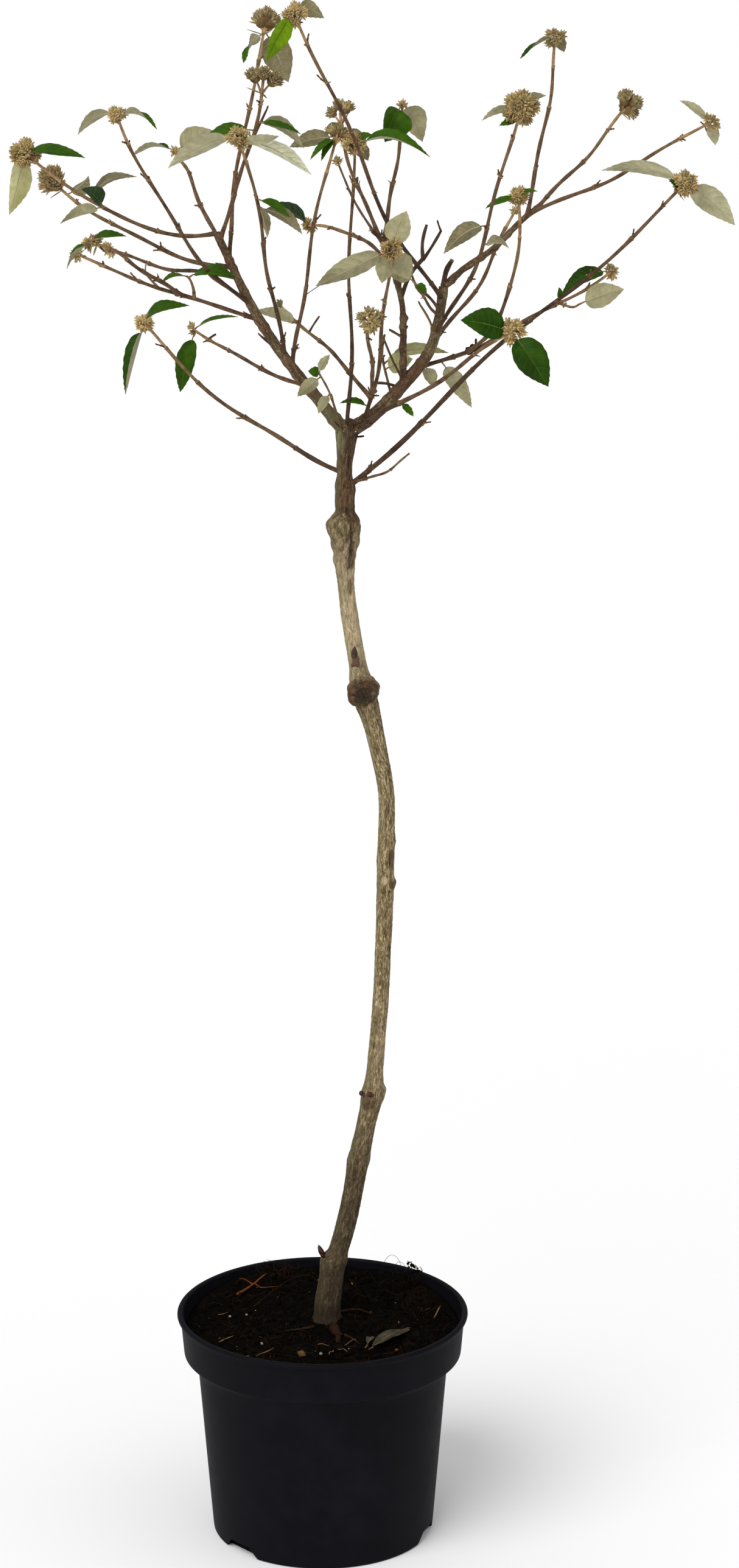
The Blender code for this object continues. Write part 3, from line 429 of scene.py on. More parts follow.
def bark_surface():
    """Bark in streaks along the limb, darker in its clefts, partly as painted shade, with the marks that its mesh
    carries.
    """
    made, tree, shader = new_material("bark")

    def mark(name, output="Fac"):
        return add_node(tree, "ShaderNodeAttribute", attribute_name=name).outputs[output]

    lay = mark("lay", "Vector")

    def streaks(scale, stretch, detail, bent=0.0):
        mapping = add_node(tree, "ShaderNodeMapping", Scale=(1, 1, stretch))
        tree.links.new(lay, mapping.inputs["Vector"])
        return grained(tree, mapping.outputs["Vector"], scale, detail, 0.62, bent)

    fine, lasting = streaks(760, 0.3, 4, 0.5), streaks(400, 0.08, 5, 0.2)
    grain = add_node(tree, "ShaderNodeMix", data_type="FLOAT")
    grain.inputs[0].default_value = 0.4
    tree.links.new(fine, grain.inputs[2])
    tree.links.new(lasting, grain.inputs[3])
    stock, scion = (ramp(tree, grain.outputs[0], wood, 0.39, 0.61) for wood in (STOCK, SCION))
    # The pale mark also paints light round the trunk just above its middle knot, strongest on the right.
    stock = mix(tree, mark("pale"), stock, PALE)
    stock = mix(tree, banded(tree, streaks(640, 0.3, 2, 0.6), 0.58, 0.66, 0, 0.6), stock, FLAKE)
    colour = mix(tree, mark("scion"), stock, scion)
    for share, shown in (
        (banded(tree, streaks(60, 0.3, 3), 0.56, 0.7, 0, 0.3), WORN),
        # rust and moss also paint shade down the trunk's left side
        (mark("rust"), RUST_AND_SHADE), (mark("moss"), MOSS_AND_SHADE), (mark("dirt"), DIRT),
        # dark cracks, and the grooves' darkening, which is partly painted shade in them
        (banded(tree, streaks(900, 0.35, 3), 0.66, 0.76, 0, 0.4), FURROW_AND_SHADE), (mark("groove"), FURROW_AND_SHADE),
    ):
        colour = mix(tree, share, colour, shown)
    finish_surface(tree, shader, colour, fine, 0.85, 0.7, 0.8 * MM)
    set_sockets(shader, Specular_IOR_Level=0.12)
    return made


MATERIALS = {}


def made_look(name):
    if name not in MATERIALS:
        MATERIALS[name] = bark_surface() if name == "bark" else surface(name)
    return MATERIALS[name]


# -------- meshes


# What a point of bark carries: its place round and along the limb, then how far each mark reaches there.
LAY = 3
MARKS = ("round", "across", "along", "groove", "scion", "rust", "moss", "dirt", "pale")


def mm(*values):
    """A place or a step given in mm."""
    return Vector(values) * MM


def circle(sides):
    """Angles spread evenly round a turn."""
    return np.arange(sides) * 2 * pi / sides


def level_way(turn, rise=0.0):
    """The way out at an angle seen from above, with so much rise."""
    return Vector((cos(turn), sin(turn), rise))


def between(first, second, turn):
    """The direction turned from the first towards the second by an angle."""
    return first * cos(turn) + second * sin(turn)


def bell(off):
    """1 at nothing off, and less the further off."""
    return exp(-(off ** 2))


def ramped(value, low, high):
    """How far a value is between two, from 0 to 1, eased at both ends."""
    share = min(max((value - low) / (high - low), 0.0), 1.0)
    return share * share * (3 - 2 * share)


def turn_between(first, second):
    """The angle from the second direction to the first, from half a turn back to half a turn on."""
    return (first - second + pi) % (2 * pi) - pi


def placed(obj):
    bpy.context.scene.collection.objects.link(obj)
    return obj


def blank(rows, sides):
    """Rings of points, and of the marks that they carry."""
    return np.zeros((rows, sides, 3)), np.zeros((rows, sides, len(MARKS)))


class Piece:
    """One piece of the scene, gathered from grids. Each face keeps the name of the look that it wears."""

    def __init__(self, name, slot, nodes):
        self.name, self.slot, self.nodes = name, slot, nodes
        self.points, self.corners, self.sizes, self.paints, self.marks = [], [], [], [], []
        self.count = 0

    def add(self, points, faces, paint, marks=None):
        points, faces = np.asarray(points, float).reshape(-1, 3), np.asarray(faces)
        self.points.append(points)
        self.marks.append(np.zeros((len(points), len(MARKS))) if marks is None else marks.reshape(-1, len(MARKS)))
        self.corners.append((faces + self.count).ravel())
        self.sizes.append(np.full(len(faces), faces.shape[1]))
        self.paints.extend([paint] * len(faces) if isinstance(paint, str) else paint)
        self.count += len(points)

    def grid(self, grid, paint, closed=False, flip=False, marks=None):
        """A sheet of (rows, columns) points. paint is one look, one a row, or one a face."""
        rows, columns = grid.shape[:2]
        index = np.arange(rows * columns).reshape(rows, columns)
        if closed:
            index = np.concatenate([index, index[:, :1]], axis=1)
        quads = np.stack([index[:-1, :-1], index[:-1, 1:], index[1:, 1:], index[1:, :-1]], axis=-1)
        across = quads.shape[1]
        quads = quads.reshape(-1, 4)
        if not isinstance(paint, str) and len(paint) == rows - 1 and len(paint) != len(quads):
            paint = [look for look in paint for _ in range(across)]
        self.add(grid, quads[:, ::-1] if flip else quads, paint, marks)

    def cap(self, ring, paint, turn, marks=None, rise=0.0):
        """A fan over a ring, turned 1 for a tube's last ring and -1 for its first. Its middle may rise."""
        n = len(ring)
        fan = np.array([(n, i, (i + 1) % n)[::turn] for i in range(n)])
        self.add(np.vstack([ring, ring.mean(axis=0) + [0, 0, rise]]), fan, paint,
                 None if marks is None else np.vstack([marks, marks[:1]]))

    def solid(self, grid, paint, marks=None):
        """A closed tube of rings with a cap on each end."""
        self.grid(grid, paint, closed=True, marks=marks)
        looks = [paint] if isinstance(paint, str) else paint
        for end, turn in ((0, -1), (-1, 1)):
            self.cap(grid[end], looks[end], turn, None if marks is None else marks[end])

    def finish(self):
        mesh = bpy.data.meshes.new(self.name)
        points, corners, sizes = (np.concatenate(part) for part in (self.points, self.corners, self.sizes))
        mesh.vertices.add(len(points))
        mesh.vertices.foreach_set("co", points.astype(np.float32).ravel())
        mesh.loops.add(len(corners))
        mesh.loops.foreach_set("vertex_index", corners.astype(np.int32))
        mesh.polygons.add(len(sizes))
        mesh.polygons.foreach_set("loop_start", (np.cumsum(sizes) - sizes).astype(np.int32))
        looks = list(dict.fromkeys(self.paints))
        mesh.polygons.foreach_set("material_index", np.array([looks.index(p) for p in self.paints], np.int32))
        mesh.polygons.foreach_set("use_smooth", np.full(len(sizes), True))
        marks = np.concatenate(self.marks)
        if marks.any():
            for i, name in enumerate(MARKS[LAY:], LAY):
                held = mesh.attributes.new(name, "FLOAT", "POINT")
                held.data.foreach_set("value", np.clip(marks[:, i], 0, 1).astype(np.float32))
            held = mesh.attributes.new("lay", "FLOAT_VECTOR", "POINT")
            held.data.foreach_set("vector", marks[:, :LAY].astype(np.float32).ravel())
        mesh.update(calc_edges=True)
        mesh.validate()
        for look in looks:
            mesh.materials.append(made_look(look))
        obj = placed(bpy.data.objects.new(self.name, mesh))
        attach(obj, "root")
        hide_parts(*self.nodes)
        return obj


def unit(vector):
    return vector / np.linalg.norm(vector)


def path_frames(points):
    """Unit vectors along a path and two across it at each point, turned as little as the path allows."""
    along = np.gradient(points, axis=0)
    along /= np.linalg.norm(along, axis=1, keepdims=True)
    sides = [unit(np.cross(along[0], (0, 0, 1) if abs(along[0][2]) < 0.9 else (1, 0, 0)))]
    for heading in along[1:]:
        sides.append(unit(sides[-1] - heading * (sides[-1] @ heading)))
    sides = np.array(sides)
    return along, sides, np.cross(along, sides)


def tube(piece, points, radii, sides, paint, flat=1.0, normal=None):
    """A closed tube along points, with its radii in metres. flat squeezes it along normal, or its first side."""
    points, radii = np.array(points, float), np.array(radii, float)
    along, first, second = path_frames(points)
    if normal is not None:
        first = np.array([unit(normal - a * (normal @ a)) for a in along])
        second = np.cross(along, first)
    turns = circle(sides)
    ring = first[:, None] * (np.cos(turns) * flat)[:, None] + second[:, None] * np.sin(turns)[:, None]
    piece.solid(points[:, None] + ring * radii[:, None, None], paint)


def blob(rows, sides, reach, lowest=0.5, squash=1.0):
    """A ball's rings, each point as far out as reach() says."""
    grid = np.zeros((rows, sides, 3))
    for row in range(rows):
        lift = pi * (row + lowest) / (rows + 2 * lowest - 1)
        for side, turn in enumerate(circle(sides)):
            out = reach()
            grid[row, side] = (sin(lift) * cos(turn) * out, sin(lift) * sin(turn) * out,
                               -cos(lift) * out * squash)
    return grid


def lump(piece, centre, size, paint, chance, squash=1.0, sides=6):
    """A small uneven blob."""
    grid = blob(4, sides, lambda: size * chance.uniform(0.75, 1.15), squash=squash)
    spin, tilt = chance.uniform(0, 6.3), chance.uniform(-0.5, 0.5)
    turned = np.array(Matrix.Rotation(spin, 3, "Z") @ Matrix.Rotation(tilt, 3, "X"))
    piece.solid(grid @ turned.T + np.array(centre), paint)


def ball(piece, centre, radius, paint, chance):
    piece.solid(centre + blob(6, 9, lambda: 1, 0.6) * radius * chance.uniform(0.95, 1.05), paint)


def eased(knots, values, places):
    """Values at places along knots, on a smooth curve that never overshoots its knots."""
    knots, values, places = (np.asarray(x, float) for x in (knots, values, places))
    steps = np.diff(knots)
    slopes = np.diff(values, axis=0) / steps[:, None]
    products = slopes[:-1] * slopes[1:]
    sums = np.where(products > 0, slopes[:-1] + slopes[1:], 1)
    tangents = np.concatenate([slopes[:1], np.where(products > 0, 2 * products / sums, 0), slopes[-1:]])
    i = np.clip(np.searchsorted(knots, places, side="right") - 1, 0, len(steps) - 1)
    h = steps[i][:, None]
    t = np.clip((places - knots[i]) / steps[i], 0, 1)[:, None]
    return ((1 + 2 * t) * (1 - t) ** 2 * values[i] + t * (1 - t) ** 2 * h * tangents[i]
            + t * t * (3 - 2 * t) * values[i + 1] + t * t * (t - 1) * h * tangents[i + 1])


# -------- lines


class Line:
    """The middle line of a limb, as a point and a radius for each share from 0 at its foot to 1 at its tip."""

    def __init__(self, limb, start):
        self.start = start
        self.tip = Vector(limb.tip) * MM
        self.bow = Vector(limb.bow) * MM
        self.radii = tuple(girth * MM / 2 for girth in limb.girth)
        self.length = (self.tip - start).length
        chance = random.Random(limb.name)
        self.phases = [chance.uniform(0, 2 * pi) for _ in range(3)]

    def at(self, share):
        swing = Vector([sin(phase + 2.4 * pi * share) for phase in self.phases])
        swing *= SWING * self.length * sin(pi * share)
        return self.start.lerp(self.tip, share) + self.bow * 4 * share * (1 - share) + swing

    def heading(self, share):
        step = 0.01
        return (self.at(min(share + step, 1)) - self.at(max(share - step, 0))).normalized()

    def radius(self, share):
        return self.radii[0] + (self.radii[1] - self.radii[0]) * share

    def nearest(self, off):
        """The point of 81 along the limb that is the least off, by a measure of a place."""
        return min((self.at(i / 80) for i in range(81)), key=off)


def trunk_point(height):
    """The trunk's middle at a height in mm."""
    for low, high in zip(TRUNK, TRUNK[1:]):
        if height <= high[0]:
            share = (height - low[0]) / (high[0] - low[0])
            return Vector((low[1], low[2], low[0])).lerp(Vector((high[1], high[2], high[0])), share) * MM
    return mm(TRUNK[-1][1], TRUNK[-1][2], TRUNK[-1][0])


def all_lines():
    lines = {}
    for limb in BOUGHS + SHOOTS:
        start = trunk_point(limb.share) if limb.parent == "trunk" else lines[limb.parent].at(limb.share)
        lines[limb.name] = Line(limb, start)
    return lines


def limb_points(lines):
    """Points along every limb, by the node that the limb belongs to, to keep leaves and spurs clear of them."""
    places = {"trunk": [trunk_point(height) for height in range(190, 1010, 6)]}
    for limb in BOUGHS + SHOOTS:
        line = lines[limb.name]
        steps = round(line.length / (5 * MM))
        places.setdefault(limb.node, []).extend(line.at(i / steps) for i in range(steps + 1))
    return places


def is_clear(points, own_node, places, clearance):
    return all(
        (point - place).length > clearance
        for node, others in places.items()
        if node != own_node
        for place in others
        for point in points
    )


def node_shares(line):
    """Where a shoot's nodes sit, from the tip down."""
    shares, back, internode = [], 0, FIRST_INTERNODE
    while back + internode < line.length - 8 * MM:
        back += internode
        shares.append(1 - back / line.length)
        internode = min(internode * INTERNODE_GROWTH, LONGEST_INTERNODE)
    return shares


def pair_direction(line, share, turn, spread):
    """A direction at a node, turned about the shoot and spread away from its heading."""
    heading = line.heading(share)
    side = heading.orthogonal().normalized()
    side.rotate(Matrix.Rotation(turn, 3, heading))
    return between(heading, side, spread)


# -------- pot and compost


POT_SIDES = 180
SMOOTH_UNDER = radians(35)
FLOOR_MIDDLE = (60 * MM, 0.1 * MM)  # radii on the pot's flat floor


def pot_radius_inside(height):
    return BODY_FOOT_RADIUS + (BODY_TOP_RADIUS - BODY_FOOT_RADIUS) * height / (
        POT_HEIGHT - BAND_HEIGHT - SHOULDER_HEIGHT) - WALL


def round_corner(centre, radius, first, last, steps):
    return [(centre[0] + radius * sin(radians(first + (last - first) * i / steps)),
             centre[1] + radius * cos(radians(first + (last - first) * i / steps)))
            for i in range(steps + 1)]


def make_pot():
    """The turned nursery pot: rolled lip, band, shoulder, plain body, and three notches under its foot."""
    band_foot = POT_HEIGHT - BAND_HEIGHT
    body_top = band_foot - SHOULDER_HEIGHT
    shelf = BODY_TOP_RADIUS + 0.4 * (BAND_FOOT_RADIUS - BODY_TOP_RADIUS)
    profile = [
        *[(reach, WALL) for reach in FLOOR_MIDDLE[::-1]], (pot_radius_inside(WALL) - 2 * MM, WALL),
        (pot_radius_inside(WALL + 2 * MM), WALL + 2 * MM), (BODY_TOP_RADIUS - WALL, body_top),
        (BAND_FOOT_RADIUS - WALL, band_foot - WALL / 2), (BAND_TOP_RADIUS - WALL - 0.2 * MM, POT_HEIGHT - 5 * MM),
        (BAND_TOP_RADIUS - WALL, POT_HEIGHT - 1.5 * MM), (BAND_TOP_RADIUS - WALL + 1 * MM, POT_HEIGHT - 0.3 * MM),
        *round_corner((RIM_RADIUS - LIP_ROUND, POT_HEIGHT - LIP_ROUND), LIP_ROUND, -5, 155, 8),
        (BAND_TOP_RADIUS + 0.35 * MM, POT_HEIGHT - 2.1 * LIP_ROUND),
        (BAND_TOP_RADIUS - 0.1 * MM, POT_HEIGHT - 2.6 * LIP_ROUND),
        (BAND_TOP_RADIUS - 0.5 * MM, POT_HEIGHT - 10 * MM),
        (BAND_FOOT_RADIUS + 0.6 * MM, band_foot + 6 * MM),
        (BAND_FOOT_RADIUS + 0.2 * MM, band_foot + 1.5 * MM),
        *round_corner((BAND_FOOT_RADIUS - 1 * MM, band_foot + 0.4 * MM), 1 * MM, 90, 150, 3),
        (shelf + 3 * MM, body_top + 0.55 * SHOULDER_HEIGHT), (shelf, body_top + 0.4 * SHOULDER_HEIGHT),
        (BODY_TOP_RADIUS + 1.2 * MM, body_top + 0.8 * MM), (BODY_TOP_RADIUS, body_top - 1.5 * MM),
        (BODY_TOP_RADIUS - 0.7 * MM, body_top - 10 * MM),
        *[(BODY_FOOT_RADIUS + (BODY_TOP_RADIUS - BODY_FOOT_RADIUS) * t, body_top * t) for t in (0.75, 0.5, 0.3, 0.15)],
        (BODY_FOOT_RADIUS + 0.3 * MM, FOOT_ROUND + 2 * MM),
        *round_corner((BODY_FOOT_RADIUS - FOOT_ROUND, FOOT_ROUND), FOOT_ROUND, 90, 180, 5),
        *[(reach, 0) for reach in FLOOR_MIDDLE],
    ]
    turns = -circle(POT_SIDES)
    grid = np.array([[(x * cos(t), x * sin(t), z) for t in turns] for x, z in profile])
    piece = Piece("pot_shell", "pot", ["pot"])
    piece.solid(grid[::-1][:, ::-1], "pot")
    shell = piece.finish()
    for i in range(NOTCH_COUNT):
        low, high = NOTCH_FOOT_WIDTH / 2, NOTCH_TOP_WIDTH / 2
        near, far = BODY_FOOT_RADIUS - NOTCH_REACH, BODY_FOOT_RADIUS + NOTCH_REACH / 2
        outline = [(-low, -2.5 * MM), (low, -2.5 * MM), (low, 0.5 * MM), (high + 2 * MM, NOTCH_HEIGHT - 1.5 * MM),
                   (high, NOTCH_HEIGHT), (-high, NOTCH_HEIGHT), (-high - 2 * MM, NOTCH_HEIGHT - 1.5 * MM),
                   (-low, 0.5 * MM)]
        points = [(x, y, z) for x in (near, far) for y, z in outline]
        n = len(outline)
        faces = [tuple(range(n))[::-1], tuple(range(n, 2 * n))]
        faces += [(k, (k + 1) % n, n + (k + 1) % n, n + k) for k in range(n)]
        mesh = bpy.data.meshes.new("notch")
        mesh.from_pydata(points, [], faces)
        cutter = placed(bpy.data.objects.new("notch", mesh))
        cutter.rotation_euler.z = NOTCH_FIRST_ANGLE + i * 2 * pi / NOTCH_COUNT
        cut = shell.modifiers.new("cut", "BOOLEAN")
        cut.operation, cut.object, cut.solver = "DIFFERENCE", cutter, "EXACT"
        bpy.context.view_layer.update()
        graph = bpy.context.evaluated_depsgraph_get()
        made = bpy.data.meshes.new_from_object(shell.evaluated_get(graph))
        shell.modifiers.clear()
        shell.data = made
        bpy.data.objects.remove(cutter, do_unlink=True)
    shell.data.materials.clear()
    shell.data.materials.append(made_look("pot"))
    shell.data.set_sharp_from_angle(angle=SMOOTH_UNDER)


def soil_height(x, y):
    """The compost's top at a place, in metres: lumpy, a little higher round the trunk and towards the back."""
    place = Vector((x, y, 0))
    rough = 1.9 * noise.noise(place * 38) + 1.5 * noise.noise(place * 110 + UP) + 0.9 * noise.noise(place * 260 - UP)
    mound = 3.5 * bell(hypot(x - 4 * MM, y - 21 * MM) / (22 * MM))
    wall = 3 * (hypot(x, y) / (118 * MM)) ** 4
    back = 6 * ramped(y, -75 * MM, 60 * MM) + 8 * ramped(y, 20 * MM, 110 * MM)
    return SOIL_TOP + (rough + mound - 4.5 + wall + back) * MM


def on_soil(x, y, lift=0.0):
    """A place on the compost, or so much over it, in mm."""
    return Vector((x * MM, y * MM, soil_height(x * MM, y * MM) + lift * MM))


def held_in(place, most, held):
    """A place drawn in towards the middle of the pot where it lies past the most, to keep it off the wall."""
    out = hypot(place.x, place.y)
    return place if out < most else Vector((place.x * held / out, place.y * held / out, place.z))


def wander(start, end, points, sway, chance, lift=0.0):
    """A crooked line between two places on the compost, lifted off it by so much at its middle."""
    across = (end - start).orthogonal().normalized()
    other = (end - start).normalized().cross(across)
    first, second = chance.uniform(-sway, sway), chance.uniform(-sway, sway)
    line = []
    for i in range(points):
        t = i / (points - 1)
        bend = sin(pi * t)
        line.append(start.lerp(end, t) + across * first * bend + other * second * sin(2.2 * pi * t)
                    + UP * lift * bend)
    return line


# What lies on the compost where the photograph shows it, in mm. White specks: right, back, size.
SPECKS = ((-1, -48, 1.8), (-54, -27, 1.5), (-84, 27, 1.4), (-69, 31, 1.3), (61, 60, 1.2))
# Roots: the route as (right, back, height over the compost), the radius at the foot, the look and the sides.
ROOTS = (
    (((-80, 62, 0), (-72, 72, 2), (-64, 80, 4), (-56, 86, 7), (-52, 90, 9)), 1.2, "root_rust", 8),
    (((-64, 79, 4), (-72, 83, 6), (-77, 80, 8)), 0.8, "root_rust", 6),
    (((-62, 80, 4), (-56, 74, 4), (-48, 76, 3), (-42, 80, 1)), 0.75, "root_rust", 6),
    (((-63, 44, 1), (-45, 66, 5), (-28, 84, 7), (-14, 93, 6), (-5, 88, 1)), 0.45, "root_brown", 6),
    (((10, 2, 0), (12, -10, 4), (14, -16, 4), (14, -26, 0)), 4.4, "root_brown", 9),
    (((20, -14, 2), (26, -20, 3), (33, -24, 0)), 1.3, "root_brown", 6),
    (((-8, 6, 1), (-20, 0, 2), (-34, -2, 0)), 1.5, "root_brown", 6),
    (((16, 30, 1), (30, 36, 3), (44, 34, 0)), 1.4, "root_brown", 6),
)
# Straws: the foot (right, back), then the way to the tip (right, back, up).
STRAWS = ((6, -32, -10, -6, 4), (14, -40, 8, -12, 3), (10, -42, -4, -14, 2), (20, -34, 10, 3, 5),
          (100, 20, 6, 14, 6), (-92, -28, 13, 10, 2), (-58, -58, 15, 11, 3), (-76, -62, 12, 3, 2))
# Tufts of hair at the wall: the middle (right, back), how far it spreads, its height and its hairs.
TUFTS = ((-44, 98, 15, 15, 44), (80, 82, 12, 12, 22), (92, 30, 10, 7, 22))
# Fallen leaf and petiole: the foot and the tip (right, back), and the leaf's width at most.
FALLEN = ((45, -44, 78, -1, 12), (40, -40, 46, -20, 6))
FLAT = np.array([0, 0, 1.0])


def make_compost(piece):
    """The compost's body: a plug that fills the pot, with a lumpy top."""
    rings, steps = 60, 150
    turns = circle(steps)
    grid = np.zeros((rings + 3, steps, 3))
    for row, (reach, z) in enumerate((
        (BODY_FOOT_RADIUS - NOTCH_REACH - 1 * MM, WALL + 0.5 * MM),
        (BODY_TOP_RADIUS - WALL - 1 * MM, POT_HEIGHT - BAND_HEIGHT - SHOULDER_HEIGHT),
        (BAND_FOOT_RADIUS - WALL - 1 * MM, POT_HEIGHT - BAND_HEIGHT),
    )):
        grid[row] = np.stack([reach * np.cos(turns), reach * np.sin(turns), np.full(steps, z)], axis=-1)
    for r in range(rings):
        reach = (BAND_FOOT_RADIUS - WALL + 0.8 * MM) * ((rings - r - 0.5) / (rings - 0.5)) ** 0.85
        for s, turn in enumerate(turns):
            x, y = reach * cos(turn), reach * sin(turn)
            grid[r + 3, s] = (x, y, soil_height(x, y))
    piece.grid(grid, ["peat_brown" if noise.noise(Vector(place) * 90) > 0.33 else "peat"
                      for row in grid[:-1] for place in row], closed=True)
    piece.cap(grid[0], "peat", -1)
    piece.cap(grid[-1], "peat", 1)


def make_litter(piece, chance):
    """Crumbs, fibres and straws all over the compost."""

    def spot(reach=116):
        turn, out = chance.uniform(0, 2 * pi), sqrt(chance.random()) * reach
        return on_soil(out * cos(turn), out * sin(turn))

    for _ in range(2300):
        size = chance.choice((0.5, 0.6, 0.8, 1.0, 1.4, 2.2)) * MM
        lump(piece, spot() + UP * size * 0.3, size, chance.choice(("peat", "peat", "peat", "peat_brown")), chance,
             0.8, 5)
    for count, lift, most, look, squash in ((40, 0.4, 0.9, "straw", 0.5), (8, 0.5, 0.8, "perlite", 0.8)):
        for _ in range(count):
            lump(piece, spot() + UP * lift * MM, chance.uniform(0.4, most) * MM, look, chance, squash, 5)
    for x, y, size in SPECKS:
        lump(piece, on_soil(x, y, size * 0.5), size * MM, "perlite", chance, 0.8)
    lump(piece, on_soil(-18, -53, 1.6), 4.2 * MM, "straw", chance, 0.55, 9)
    lump(piece, on_soil(66, -41, 1), 2.2 * MM, "root_rust", chance, 0.6, 7)
    for _ in range(620):
        place = spot()
        turn, length = chance.uniform(0, 2 * pi), chance.uniform(5, 20) * MM
        end = place + level_way(turn, chance.uniform(-0.08, 0.22)) * length
        if hypot(end.x, end.y) > 119 * MM:
            continue
        thick = chance.uniform(0.1, 0.26) * MM
        line = wander(place + UP * 0.6 * MM, end, 7, 0.22 * length, chance, 1.2 * MM)
        tube(piece, line, [thick] * 6 + [thick * 0.4], 4,
             chance.choice(("root_brown", "root_brown", "peat_brown", "peat_brown", "peat_brown")))
    for _ in range(7):
        foot = spot(108) + UP * MM
        turn, length = chance.uniform(0, 2 * pi), chance.uniform(4, 11) * MM
        line = wander(foot, foot + level_way(turn, 0.1) * length, 4, 0.05 * length, chance)
        tube(piece, line, [r * MM for r in (0.6, 0.8, 0.7, 0.3)], 5, "straw", 0.35, FLAT)


def make_tufts(piece, chance):
    """The matted hair at the wall, and at the back right of the rim its arcs and the crumbs it holds."""
    for right, back, spread, height, count in TUFTS:
        for _ in range(count):
            x, y = right + chance.gauss(0, spread * 0.6), back + chance.gauss(0, 6)
            foot = held_in(Vector((x, y, 0)), 117, 115)
            foot = on_soil(foot.x, foot.y)
            turn = chance.uniform(0, 2 * pi)
            end = foot + mm(cos(turn) * 9, sin(turn) * 5, chance.uniform(0.25, 1) * height)
            line = wander(foot, held_in(end, 118 * MM, 118 * MM), 9, 5 * MM, chance, 4 * MM)
            tube(piece, [held_in(place, 120 * MM, 118 * MM) for place in line], [0.24 * MM] * 8 + [0.1 * MM], 4,
                 chance.choice(("root_brown", "peat_brown")))
    for radius, left in ((9, 63), (6, 70)):
        arc = [mm(left + radius * cos(t), 102 + 0.2 * radius * t, 199 + 2.1 * radius * sin(t))
               for t in np.linspace(pi * 0.9, 0.1, 14)]
        tube(piece, arc, [0.2 * MM] * 14, 4, "root_brown")
    for k in range(26):
        x = 90 - 0.5 * k + chance.uniform(-1, 1)
        z = 206 + 0.3 * k + chance.uniform(-1.6, 1.6) * (1 + 0.05 * k)
        lump(piece, mm(x, 91 + 0.12 * k, z), chance.uniform(0.7, 1.7) * MM, "peat_brown", chance, 0.7)
    for x, z in ((88, 211), (84, 213), (80, 216), (77, 217)):
        line = wander(mm(x + 2, 90, 203), mm(x, 91, z + 1), 6, 1.5 * MM, chance)
        tube(piece, line, [0.4 * MM] * 5 + [0.15 * MM], 5, "peat_brown")


def make_soil():
    """Peat compost: its body, the litter on it, and what the photograph shows lying there."""
    chance = random.Random("compost")
    piece = Piece("compost", "soil", ["soil"])
    make_compost(piece)
    make_litter(piece, chance)
    for route, thick, look, sides in ROOTS:
        places = [on_soil(*place) for place in route]
        knots = np.arange(len(places))
        line = eased(knots, [tuple(p) for p in places], np.linspace(0, len(places) - 1, 8 * len(places)))
        radii = [thick * MM * (1 - 0.6 * i / len(line)) * chance.uniform(0.85, 1.15) for i in range(len(line))]
        tube(piece, line, radii, sides, look)
    for x, y, *way in STRAWS:
        foot = on_soil(x, y, 1.2)
        line = wander(foot, foot + mm(*way), 5, 1 * MM, chance, 0.5 * MM)
        tube(piece, line, [r * MM for r in (0.5, 0.8, 0.8, 0.6, 0.25)], 6, "straw", 0.45, FLAT)
    make_tufts(piece, chance)
    for x, y, tip_x, tip_y, width in FALLEN:
        make_fallen(piece, Vector((x, y, 0)), Vector((tip_x, tip_y, 0)), width)
    piece.finish()


def make_fallen(piece, foot, tip, width):
    """A fallen leaf, curled on the compost, between two places in mm."""
    rows, columns = 15, 7
    grid = np.zeros((rows, columns, 3))
    along = (tip - foot).normalized()
    across = Vector((-along.y, along.x, 0))
    for row in range(rows):
        t = row / (rows - 1)
        half = width * (sin(pi * min(t * 0.97 + 0.02, 1)) ** 0.8) * 0.62
        for column in range(columns):
            v = 2 * column / (columns - 1) - 1
            place = (foot.lerp(tip, t) + across * v * half) * MM
            lift = 3.0 + 2.2 * abs(v) * sin(3 * t + 1) + 2.5 * sin(pi * t)
            grid[row, column] = (place.x, place.y, soil_height(place.x, place.y) * 0.4 + SOIL_TOP * 0.6 + lift * MM)
    piece.grid(grid, "dead_leaf")
    piece.grid(grid - FLAT * 0.5 * MM, "dead_leaf", flip=True)
    vein = [Vector(grid[row, columns // 2]) + UP * 0.1 * MM for row in range(rows)]
    tube(piece, [vein[0] - along * 6 * MM] + vein, [0.6 * MM] * 4 + [0.45 * MM] * (rows - 4) + [0.2 * MM], 5, "straw")


# -------- bark

# Swellings on the trunk: height, side (degrees from the right, front is -90), reach up and round, and push, in mm.
KNOTS = (
    (246, -20, 5, 6, 1.2), (262, -90, 9, 7, -0.9), (310, -60, 8, 5, 0.8),
    (342, 20, 6, 5, 1.4), (342, 190, 7, 5, 0.9), (371, -100, 7, 4, -0.5), (409, -4, 3.5, 4, 1.8), (402, 2, 6, 5, 1.5),
    (404, 190, 7, 5, 1.0), (401, -112, 6, 6, 1.2), (505, -60, 9, 4, 0.6), (560, -120, 6, 4, 0.5),
    (602, -14, 5, 4.5, 1.9), (640, -10, 6, 4, 1.3), (622, 175, 6, 4, 0.8), (700, -70, 10, 4, 0.6),
    (760, 180, 8, 6, 1.4), (778, -90, 14, 11, 1.6), (806, -100, 7, 5, 2.0), (840, -50, 9, 4, 0.7),
    (884, -125, 8, 7, 1.4), (902, -110, 8, 8, 1.9), (918, -140, 9, 9, 2.6), (911, -20, 8, 6, 1.5),
    (921, 60, 8, 8, 1.4), (900, 130, 8, 8, 1.5), (912, -60, 17, 1.7, -2.4), (889, -70, 10, 1.6, -1.4),
    (934, -110, 3.5, 9, -1.6), (953, 5, 5, 5, 1.7), (957, 185, 6, 4, 1.2), (972, 180, 5, 4, 0.8),
    (986, -40, 8, 4, 0.8), (1001, -70, 6, 5, 1.0), (1003, 170, 8, 6, 1.0),
)

